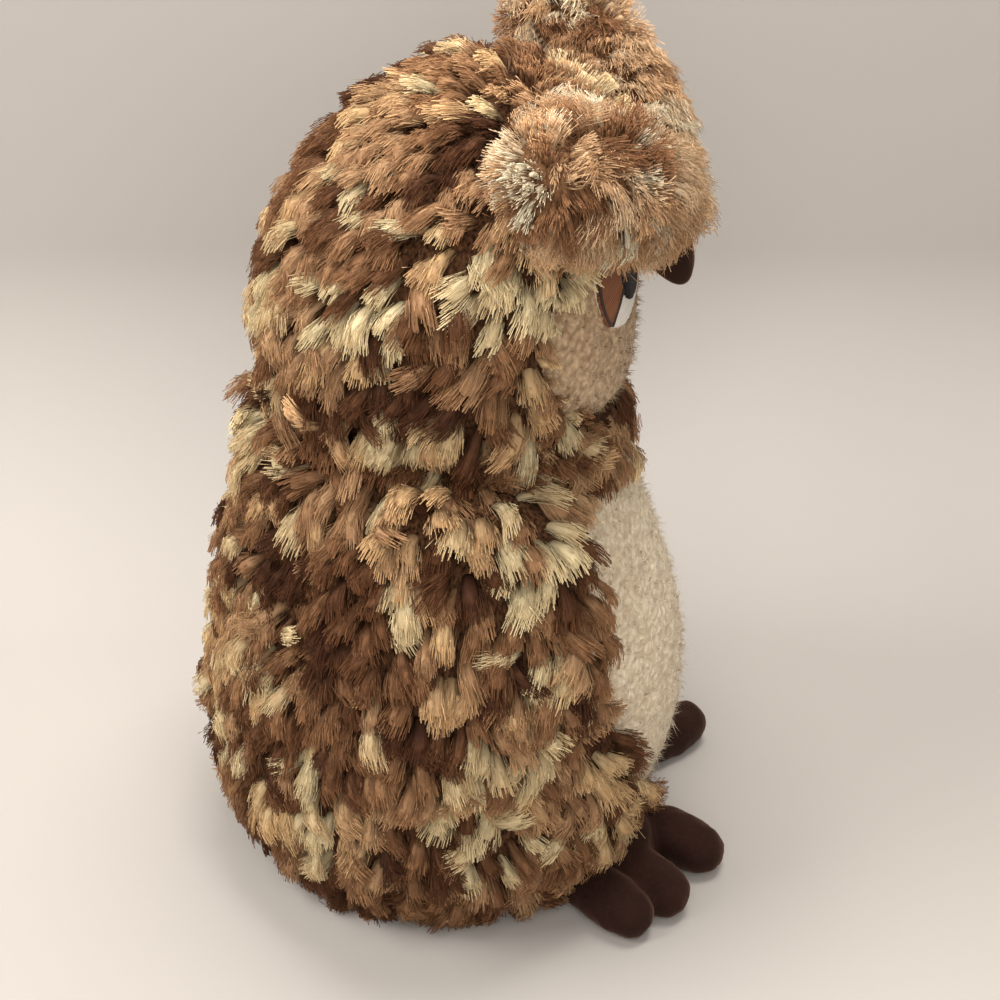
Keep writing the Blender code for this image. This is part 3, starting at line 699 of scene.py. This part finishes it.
# Painted shade: locks behind a wing's rear edge and close under the head are dyed darker.
shade = np.where(behind_wing, 0.5 * shade, shade * (1.0 - 0.6 * under_head))
body_locks = Locks(roots, facing, lie, length, width, shade, LONG_PILE, seed=20)
cloth_backing("body_backing", "body_cover", plush_backing, "owl")
body_locks.cores("body_locks", plush_yarn, "owl")
body_locks.strands_in_parts("body_fur", 5, plush_yarn, "owl")


# The bib is short curly fleece, sewn into the front of the plush and stretched over the belly.
# Its nap is closed up in soft grains with fine pits between them, and the pits are painted darker
# as shade.
def softened(name, node, body, voxel, rounds, puff):
    """A sewn piece in the form of a CAD solid, its facets and edges rounded off.

    It is remeshed in even voxels, smoothed in some rounds, and puffed out along its normals.
    """
    item = cover_copy(name, node)
    even = item.modifiers.new("even", "REMESH")
    even.mode = "VOXEL"
    even.voxel_size = voxel
    even.use_smooth_shade = True
    soften = item.modifiers.new("soften", "SMOOTH")
    soften.factor = 0.5
    soften.iterations = rounds
    push = item.modifiers.new("puff", "DISPLACE")
    push.strength = puff
    push.mid_level = 0.0
    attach(item, body)
    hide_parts(node)
    return item


def lumps(item, size, height):
    """Uneven soft lumps on a piece, from smooth noise."""
    noise = bpy.data.textures.new(item.name + "_lumps", "CLOUDS")
    noise.noise_scale = size
    noise.noise_depth = 3
    push = item.modifiers.new("lumps", "DISPLACE")
    push.texture = noise
    push.texture_coords = "LOCAL"
    push.strength = height
    push.mid_level = 0.5
    return item


def fleece_cloth(name, pale, deep):
    """Curly fleece: rounded grains of nap, pits between them painted darker as shade, and soft
    clouds of tone.
    """
    material, dye, shader = new_dye(name)
    place = dye.node("ShaderNodeTexCoord", output=3)
    bent = dye.node(
        "ShaderNodeTexNoise", {}, {"Vector": place, "Scale": 300.0, "Detail": 3.0}, output=1
    )
    shifted = dye.node(
        "ShaderNodeVectorMath", {"operation": "MULTIPLY_ADD"},
        {0: bent, 1: (0.0036, 0.0036, 0.0036), 2: place},
    )
    grain = dye.node(
        "ShaderNodeTexVoronoi", {"feature": "SMOOTH_F1"},
        {"Vector": shifted, "Scale": 400.0, "Smoothness": 0.55},
    )
    fuzz = dye.node("ShaderNodeTexNoise", {}, {"Vector": place, "Scale": 1500.0, "Detail": 4.0})
    cloud = dye.node("ShaderNodeTexNoise", {}, {"Vector": place, "Scale": 46.0, "Detail": 3.0})
    nap = (1.0 - grain * 1.5) * 0.8 + fuzz * 0.32
    # Painted shade: the colour follows the nap's height, so the pits between grains are darker; the
    # clouds are the fleece's own uneven tone.
    tone = (nap * 0.95 + cloud * 0.55 - 0.26).clamped()
    color = mix_colors(dye, tone, (*deep, 1.0), (*pale, 1.0))
    bump = dye.node("ShaderNodeBump", {}, {"Strength": 0.9, "Distance": 0.0011, "Height": nap})
    connect(dye, shader, Base_Color=color, Normal=bump)
    shader.inputs["Roughness"].default_value = 0.92
    shader.inputs["Sheen Weight"].default_value = 0.12
    shader.inputs["Sheen Roughness"].default_value = 0.5
    shader.inputs["Specular IOR Level"].default_value = 0.12
    return material


FLEECE_NAP = {
    "strands": 10, "flat": 1.0, "ragged": 0.4, "curl": 0.9, "rise": 0.90, "settle": 0.70,
    "stray": 0.0005, "root": 0.80, "fan": 1.30, "spread": 0.8, "sink": 0.0006,
    "thick": 0.00026, "blunt": 0.0, "wild": 0.0, "at_tip": 0.50, "start": 0.0, "core": 1.0,
}


NAP_SPACING = 0.0035


def fleece_nap(name, node, reach, yarn, seed):
    """Short loose fibres of a fleece panel, in all directions, that soften its outline.

    They start where the panel looks away from a point 30 mm behind its middle.
    """
    corners, normals = cloth_triangles(node)
    away = unit(corners.mean(1) - corners.mean((0, 1)) - (0.0, 0.03, 0.0))
    keep = (unit(normals) * away).sum(1) > 0.35
    roots, facing = spread_roots(corners[keep], normals[keep], NAP_SPACING, seed)
    rng = np.random.default_rng(seed)
    lie = rng.standard_normal(roots.shape)
    length, width = np.array([[1.0], [2.4]]) * reach * (0.7 + 0.6 * rng.random((2, len(roots))))
    shade = rng.random(len(roots))
    nap = Locks(roots, facing, lie, length, width, shade, FLEECE_NAP, seed)
    nap.strands(name, yarn, "owl")


CREAM_NAP_TONES = ((0.0, (0.72, 0.59, 0.41)), (1.0, (0.90, 0.79, 0.60)))
cream_fleece = fleece_cloth("cream_fleece", pale=(0.930, 0.820, 0.620), deep=(0.580, 0.450, 0.300))
cream_nap = in_slot(fur_dye("cream_nap", CREAM_NAP_TONES, root_share=0.80))
bib = softened("bib_fleece", "bib_panel", "owl", voxel=0.0018, rounds=10, puff=0.0006)
lumps(bib, size=0.0045, height=0.0026)
wear(bib, cream_fleece)
fleece_nap("bib_nap", "bib_panel", reach=0.0019, yarn=cream_nap, seed=14)


# The base is a round panel of the same plush cloth, shaved short where the owl sits on it.
# A bag of pellets lies on it under the loose polyester filling.
def plain_cloth(name, color, pitch, rough):
    """Woven or matted cloth: two sets of fine ribs and a little dirt."""
    material, dye, shader = new_dye(name)
    place = dye.node("ShaderNodeTexCoord", output=3)
    ribs = {"Vector": place, "Scale": 1.0 / pitch, "Distortion": 1.5, "Detail": 2.0}
    weft = dye.node("ShaderNodeTexWave", {"bands_direction": "X"}, ribs, output=1)
    warp = dye.node("ShaderNodeTexWave", {"bands_direction": "Z"}, ribs, output=1)
    cloud = dye.node("ShaderNodeTexNoise", {}, {"Vector": place, "Scale": 160.0, "Detail": 4.0})
    height = weft * 0.4 + warp * 0.4 + cloud * 0.4
    dark = tuple(0.62 * value for value in color)
    tint = mix_colors(dye, (height - 0.1).clamped(), (*dark, 1.0), (*color, 1.0))
    bump = dye.node("ShaderNodeBump", {}, {"Strength": 0.5, "Distance": 0.0003, "Height": height})
    connect(dye, shader, Base_Color=tint, Normal=bump)
    shader.inputs["Roughness"].default_value = rough
    return material


def dress(node, material):
    """Give a CAD solid that stays in the model its material."""
    nodes[node].data.materials.clear()
    nodes[node].data.materials.append(material)


def cloth_sheet(name, node, body, voxel, material):
    """A sheet of cloth in the place of a CAD solid, with the size it was cut to."""
    sheet = softened(name, node, body, voxel, rounds=3, puff=0.00005)
    wear(sheet, material)


base_plush = in_slot(
    plain_cloth("base_plush", (0.150, 0.080, 0.045), pitch=0.0012, rough=0.95)
)
cloth_sheet(
    "base_plush_panel", "base_panel", "owl", 0.0016, base_plush,
)
filling = plain_cloth("polyester_wadding", (0.82, 0.81, 0.78), pitch=0.0035, rough=0.95)
dress("body_stuffing", filling)
dress("head_stuffing", filling)
dress("bean_pouch", plain_cloth("pouch_cotton", (0.68, 0.66, 0.58), pitch=0.0008, rough=0.9))


# The head's plush is the same cloth, cut in gores that meet at the crown.
# Its locks run from the brow back over the crown and hang over the neck as a ruff.
HEAD_MIDDLE = np.array([0.0, -0.006, 0.245])
CROWN = np.array([0.0, -0.050, 0.300])
FACE = np.array([0.0, -0.100, 0.240])
CROWN_RADIUS = 0.022
RUFF_TOP = 0.222
RUFF_HEIGHT = 0.016
UNDERSIDE_LENGTH = 0.0085
corners, normals = cloth_triangles("head_cover")
keep = outwardness(corners, normals, HEAD_MIDDLE) > 0.45
keep &= unit(normals)[:, 2] > -0.93
roots, facing = spread_roots(corners[keep], normals[keep], LOCK_SPACING, seed=12)
roots, facing, on_edge = with_edge(roots, facing, "head_cover", "face_panel", HEAD_MIDDLE, seed=19)
stand = np.clip(1.5 - np.linalg.norm(roots - CROWN, axis=1) / CROWN_RADIUS, 0.0, 0.85)
ruff = np.clip((RUFF_TOP - roots[:, 2]) / RUFF_HEIGHT, 0.0, 1.0)[:, None]
swirl = unit(roots - CROWN) + 0.55 * DOWN
hanging = unit(roots - HEAD_MIDDLE) * (1.0, 1.0, 0.0) * 0.4 + DOWN
lie = swirl * (1 - ruff) + hanging * ruff + 0.34 * rng.standard_normal((len(roots), 3))
by_face = nearness(tree_of("face_panel"), roots, PANEL_GAP, PANEL_REACH)[:, None]
lie = lie + 0.5 * by_face * unit(FACE - roots)
length = uneven_lengths(LOCK_LENGTH, len(roots)) * (1.0 + 0.25 * ruff[:, 0])
length = np.where(facing[:, 2] < -0.60, UNDERSIDE_LENGTH, length) * np.where(on_edge, 0.5, 1.0)
length = length * (1.0 - 0.4 * by_face[:, 0])
width = uneven_widths(LOCK_WIDTH, len(roots))
shade = dye_patches(roots, DYE_PATCH, SHADES, loose=0.16, seed=4)
head_locks = Locks(roots, facing, lie, length, width, shade, LONG_PILE, seed=30, stand=stand)
cloth_backing("head_backing", "head_cover", plush_backing, "owl")
head_locks.cores("head_locks", plush_yarn, "owl")
head_locks.strands_in_parts("head_fur", 3, plush_yarn, "owl")


# A ruff of the long pile is caught in the neck seam and hangs over the top of the bib.
# Its locks stand in three rows, each row's between those of the row above.
OUT_OF_REACH = 0.3


def around_neck(heights, columns, reach):
    """Places on the toy's surface round the front of the neck, and the way out at each.

    At each height, rays run in towards the axis from angles spread over both sides of
    the front, and the rows are shifted by half a step from one another.
    """
    tree = tree_of("bib_panel", "body_cover", "face_panel", "head_cover")
    places, outwards = [], []
    for row, height in enumerate(heights):
        for turn in (np.arange(columns) + 0.5 * (row % 2)) / (columns - 1) * 2 * reach - reach:
            out = Vector((math.sin(turn), -math.cos(turn), 0.0))
            hit = tree.ray_cast(out * OUT_OF_REACH + Vector((0.0, 0.0, height)), -out)[0]
            places.append(hit)
            outwards.append(out)
    return np.array(places), np.array(outwards)


RUFF_ROWS = (0.194, 0.187, 0.179)
RUFF_LOCK_LENGTH = 0.0165
RUFF_LOCK_WIDTH = 0.0098
roots, facing = around_neck(RUFF_ROWS, columns=34, reach=1.75)
lie = DOWN + 0.2 * facing + 0.22 * rng.standard_normal(roots.shape)
length = uneven_lengths(RUFF_LOCK_LENGTH, len(roots))
width = uneven_widths(RUFF_LOCK_WIDTH, len(roots))
shade = dye_patches(roots, DYE_PATCH, SHADES, loose=0.2, seed=6)
ruff_locks = Locks(roots, facing, lie, length, width, shade, LONG_PILE, seed=40)
ruff_locks.cores("ruff_locks", plush_yarn, "owl")
ruff_locks.strands("ruff_fur", plush_yarn, "owl")


# The face is a panel of the same fleece as the bib, a little darker with handling.
# It is sewn into the head under the brows.
FACE_NAP_TONES = ((0.0, (0.48, 0.35, 0.21)), (1.0, (0.73, 0.55, 0.35)))
face_fleece = in_slot(
    fleece_cloth("face_fleece", pale=(0.750, 0.550, 0.345), deep=(0.310, 0.195, 0.105)),
)
face_nap = in_slot(fur_dye("face_nap", FACE_NAP_TONES, root_share=0.75))
face = softened("face_fleece", "face_panel", "owl", voxel=0.0014, rounds=8, puff=0.0002)
lumps(face, size=0.0045, height=0.0012)
wear(face, face_fleece)
fleece_nap("face_nap", "face_panel", reach=0.0014, yarn=face_nap, seed=15)


# The brows are stuffed rolls of finer, longer plush, sewn over the eyes and up to the ears.
# Their pile starts from two whorls on each roll and spreads away from them.
BROW_TONES = (
    (0.00, (0.140, 0.055, 0.024)),
    (0.30, (0.420, 0.205, 0.095)),
    (0.60, (0.850, 0.530, 0.285)),
    (1.00, (1.000, 0.890, 0.640)),
)
BROW_SHADES = (0.25, 0.42, 0.52, 0.58, 0.64, 0.72, 0.82, 0.98)
brow_yarn = in_slot(fur_dye("brow_yarn", BROW_TONES, root_share=0.42))
# The brows' backing is painted dark as the shade between their locks.
brow_backing = in_slot(
    shaded_backing_dye("brow_backing", pale=(0.300, 0.150, 0.072), deep=(0.040, 0.017, 0.008)),
)
BROW_PILE = dict(
    LONG_PILE, strands=86, thick=0.00030, rise=0.60, settle=0.30, curl=0.14, ragged=0.40,
    fan=1.30, flat=0.8, blunt=0.5, wild=0.04, stray=0.0003, core=0.5,
)
BROW_SPACING = 0.0036
BROW_LOCK_LENGTH = 0.0125
BROW_LOCK_WIDTH = 0.0082
BROW_DYE_PATCH = 0.014
SEWN_DOWN = 0.088
WHORLS = np.array([[0.075, -0.066, 0.306], [0.090, -0.028, 0.304]])
WHORL_RADIUS = 0.013
BROW_REAR = -0.030
SIDES = ((-1, "right"), (1, "left"))
for side, name in SIDES:
    corners, normals = cloth_triangles("brow_tuft_" + name)
    inwards = outwardness(corners, normals, HEAD_MIDDLE) < -0.5
    low_down = np.linalg.norm(corners.mean(1) - HEAD_MIDDLE, axis=1) < SEWN_DOWN
    keep = ~(inwards & low_down)
    roots, facing = spread_roots(corners[keep], normals[keep], BROW_SPACING, seed=50 + side)
    away = roots[:, None] - (WHORLS * (side, 1, 1))[None]
    apart = np.linalg.norm(away, axis=2, keepdims=True)
    near = apart.min(axis=(1, 2))
    stand = np.clip(1.5 - near / WHORL_RADIUS, 0.0, 0.9)
    lie = unit((away / apart ** 2).sum(1)) * (1.0 - 0.8 * stand[:, None])
    lie = lie + 0.25 * DOWN + 0.25 * rng.standard_normal((len(roots), 3))
    length = uneven_lengths(BROW_LOCK_LENGTH, len(roots))
    if name == "left":
        length = np.where(roots[:, 1] > BROW_REAR, 0.6, 1.0) * length
    width = uneven_widths(BROW_LOCK_WIDTH, len(roots))
    shade = dye_patches(roots, BROW_DYE_PATCH, BROW_SHADES, loose=0.2, seed=60 + side)
    locks = Locks(roots, facing, lie, length, width, shade, BROW_PILE, seed=70 + side, stand=stand)
    cloth_backing(f"brow_backing_{name}", "brow_tuft_" + name, brow_backing, "owl")
    locks.cores(f"brow_locks_{name}", brow_yarn, "owl")
    locks.strands(f"brow_fur_{name}", brow_yarn, "owl")


# Each eye is a disc of white satin thread with a black pupil of thread over it.
# A brown lid slants over its outer part, and the fleece is drawn up round it in a rim.
def thread_cloth(name, pale, deep, pitch, turn, rough):
    """Satin stitches side by side: fine ridges across the piece, each lit unlike its neighbour."""
    material, dye, shader = new_dye(name)
    place = dye.node("ShaderNodeTexCoord", output=3)
    turned = dye.node("ShaderNodeMapping", {}, {"Vector": place, "Rotation": (turn, 0.3, 0.4)})
    stretched = dye.node(
        "ShaderNodeVectorMath", {"operation": "MULTIPLY"}, {0: turned, 1: (0.08, 0.08, 1.0)}
    )
    stitch = dye.node(
        "ShaderNodeTexNoise", {}, {"Vector": stretched, "Scale": 1.0 / pitch, "Detail": 2.0}
    )
    ridge = dye.node(
        "ShaderNodeTexWave", {"bands_direction": "Z"},
        {"Vector": turned, "Scale": 0.32 / pitch, "Distortion": 2.0}, output=1,
    )
    height = stitch * 0.6 + ridge * 0.4
    color = mix_colors(dye, (height * 1.3 - 0.15).clamped(), (*deep, 1.0), (*pale, 1.0))
    bump = dye.node("ShaderNodeBump", {}, {"Strength": 0.6, "Distance": 0.0003, "Height": height})
    connect(dye, shader, Base_Color=color, Normal=bump)
    shader.inputs["Roughness"].default_value = rough
    shader.inputs["Specular IOR Level"].default_value = 0.2
    return material


def tube_round(name, path, radius, sides, material, body):
    """A closed ring of thread or cloth: a circle of a radius carried along a closed path."""
    count = len(path)
    ahead = unit(np.roll(path, -1, 0) - np.roll(path, 1, 0))
    out = unit(path - path.mean(0))
    out = unit(out - (out * ahead).sum(1, keepdims=True) * ahead)
    across = np.cross(ahead, out)
    turn = (math.tau * np.arange(sides) / sides)[None, :, None]
    circle = np.cos(turn) * out[:, None] + np.sin(turn) * across[:, None]
    points = (path[:, None] + radius * circle).reshape(-1, 3)
    ring, step = np.meshgrid(np.arange(count), np.arange(sides), indexing="ij")
    ring, next_ring = ring * sides, (ring + 1) % count * sides
    next_step = (step + 1) % sides
    quads = (ring + step, ring + next_step, next_ring + next_step, next_ring + step)
    item = surface(name, points, np.stack([corner.ravel() for corner in quads], 1))
    wear(item, material)
    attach(item, body)
    return item


eye_white = in_slot(
    thread_cloth(
        "white_satin_thread", pale=(0.93, 0.89, 0.82), deep=(0.62, 0.57, 0.50),
        pitch=0.0010, turn=0.0, rough=0.42,
    ),
)
pupil_black = in_slot(
    thread_cloth(
        "black_satin_thread", pale=(0.010, 0.008, 0.009), deep=(0.003, 0.003, 0.003),
        pitch=0.0006, turn=0.9, rough=0.55,
    ),
)
lid_brown = thread_cloth(
    "lid_satin_thread", pale=(0.360, 0.135, 0.050), deep=(0.090, 0.030, 0.012),
    pitch=0.0010, turn=0.6, rough=0.5,
)
line_brown, _, shader = new_dye("lid_line_thread")
shader.inputs["Base Color"].default_value = (0.030, 0.012, 0.008, 1.0)
shader.inputs["Roughness"].default_value = 0.6
DROP = 0.03


def on_cloth(tree, middle, outward, first, second, across, upward):
    """Points given across and up from a middle, dropped on to a surface from outside it."""
    spots = []
    for a, b in zip(across.tolist(), upward.tolist()):
        spot = middle + first * a + second * b
        hit = tree.ray_cast(spot + outward * DROP, -outward)[0]
        spots.append(hit if hit is not None else tree.find_nearest(spot)[0])
    return np.array(spots)


EYE_RADIUS = 0.0175
RIM_RADIUS = EYE_RADIUS * 1.02
RIM_THICKNESS = 0.0014
RIM_POINTS = 72
LID_RADIUS = 0.0180
LID_SLOPE_DEG = 38.0
LID_INSET = 0.0008
LID_EDGE_POINTS = 24
LID_BOW_POINTS = 40
LID_LINE_THICKNESS = 0.0006
LID_LINE_LIFT = 0.0004
EYE_VOXEL = 0.0008
EYE_LAYERS = (
    ("eye_white_", eye_white, 0.0003),
    ("eye_pupil_", pupil_black, 0.0006),
    ("eyelid_", lid_brown, 0.0006),
)
face_tree = tree_of("face_panel")
for side, name in SIDES:
    for node, material, puff in EYE_LAYERS:
        piece = softened(node + "thread_" + name, node + name, "owl", EYE_VOXEL, 3, puff)
        wear(piece, material)
    normals = cloth_triangles("eye_white_" + name)[1]
    middle = sum(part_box("eye_white_" + name), Vector()) / 2
    outward = Vector(unit(normals[unit(normals)[:, 1] < -0.6].sum(0)))
    left = Vector((0.0, 0.0, 1.0)).cross(outward).normalized()
    up = outward.cross(left)
    ring = np.linspace(0.0, math.tau, RIM_POINTS, endpoint=False)
    across, upward = RIM_RADIUS * np.cos(ring), RIM_RADIUS * np.sin(ring)
    rim = on_cloth(face_tree, middle, outward, left, up, across, upward)
    tube_round(f"eye_rim_{name}", rim, RIM_THICKNESS, 10, face_fleece, "owl")
    slope = side * math.radians(LID_SLOPE_DEG)
    edge = left * math.cos(slope) + up * math.sin(slope)
    along_edge = up * math.cos(slope) - left * math.sin(slope)
    straight = np.linspace(-1.0, 1.0, LID_EDGE_POINTS)
    bow = np.linspace(math.pi / 2, -math.pi / 2, LID_BOW_POINTS)[1:-1]
    inset = np.full(LID_EDGE_POINTS, LID_INSET)
    across = np.concatenate((inset, LID_RADIUS * np.cos(bow))) * side
    upward = LID_RADIUS * np.concatenate((straight, np.sin(bow)))
    eye_tree = tree_of("eye_white_" + name, "eyelid_" + name)
    outline = on_cloth(eye_tree, middle, outward, edge, along_edge, across, upward)
    outline = outline + np.array(outward) * LID_LINE_LIFT
    tube_round(f"lid_line_{name}", outline, LID_LINE_THICKNESS, 8, line_brown, "owl")


# The beak is a small hook of brown suede cloth, sewn to the face under the brows.
# It is stuffed firmly, so that its sides are round and smooth.
def suede_cloth(name, pale, deep):
    """Brushed suede cloth: a fine uneven nap with strokes that lie lighter and darker."""
    material, dye, shader = new_dye(name)
    place = dye.node("ShaderNodeTexCoord", output=3)
    nap = dye.node("ShaderNodeTexNoise", {}, {"Vector": place, "Scale": 900.0, "Detail": 5.0})
    stroke = dye.node("ShaderNodeTexNoise", {}, {"Vector": place, "Scale": 75.0, "Detail": 3.0})
    tone = (nap * 0.9 + stroke * 0.7 - 0.35).clamped()
    color = mix_colors(dye, tone, (*deep, 1.0), (*pale, 1.0))
    bump = dye.node("ShaderNodeBump", {}, {"Strength": 0.45, "Distance": 0.0003, "Height": nap})
    connect(dye, shader, Base_Color=color, Normal=bump)
    shader.inputs["Roughness"].default_value = 0.85
    shader.inputs["Sheen Weight"].default_value = 0.22
    shader.inputs["Sheen Roughness"].default_value = 0.4
    shader.inputs["Sheen Tint"].default_value = (0.75, 0.42, 0.30, 1.0)
    shader.inputs["Specular IOR Level"].default_value = 0.15
    return material


brown_suede = suede_cloth("brown_suede", pale=(0.040, 0.0130, 0.0075), deep=(0.007, 0.0024, 0.0017))
beak = softened("beak_suede", "beak", "owl", voxel=0.0009, rounds=8, puff=0.0006)
wear(beak, brown_suede)


# The wings are stuffed flaps of the long-pile cloth, sewn on at the shoulder.
# Their locks hang down the wing and past its edge, and a thin fleece lines the inside.
WING_SPACING = 0.0055
WING_LOCK_LENGTH = 0.0165
for side, name in SIDES:
    wing = "wing_" + name
    corners, normals = cloth_triangles(wing)
    keep = unit(normals)[:, 0] * side > -0.35
    roots, facing = spread_roots(corners[keep], normals[keep], WING_SPACING, seed=80 + side)
    rearwards = (roots[:, 1] - wing_middle[1]) / wing_half[1]
    flat = np.ones(len(roots))
    lie = np.stack((side * 0.3 * flat, np.minimum(0.35 * rearwards, 0.0), -flat), 1)
    lie = lie + 0.30 * rng.standard_normal((len(roots), 3))
    length = uneven_lengths(WING_LOCK_LENGTH, len(roots))
    width = uneven_widths(LOCK_WIDTH, len(roots))
    shade = dye_patches(roots, DYE_PATCH, SHADES, loose=0.16, seed=90 + side)
    # Painted shade: the locks along the wing's rear edge are dyed darker, as the shade in the gap
    # between wing and body.
    shade = shade * np.where(rearwards > 0.75, 0.55, 1.0)
    locks = Locks(roots, facing, lie, length, width, shade, LONG_PILE, seed=95 + side)
    cloth_backing(f"wing_backing_{name}", wing, plush_backing, wing)
    locks.cores(f"wing_locks_{name}", plush_yarn, wing)
    locks.strands(f"wing_fur_{name}", plush_yarn, wing)
    cloth_sheet(
        f"wing_lining_fleece_{name}", "wing_lining_" + name, wing, 0.0018, cream_fleece,
    )


# The feet are stuffed suede cloth, each with three blunt toes drawn apart by their seams.
# A flat sole of the same cloth closes them underneath.
for side, name in SIDES:
    foot_name = "foot_" + name
    foot = softened(f"foot_suede_{name}", foot_name, foot_name, 0.0016, rounds=12, puff=0.0010)
    wear(foot, brown_suede)
    lumps(foot, size=0.009, height=0.0022)
    cloth_sheet(
        f"foot_sole_suede_{name}", "foot_sole_" + name, foot_name, 0.0011, brown_suede,
    )
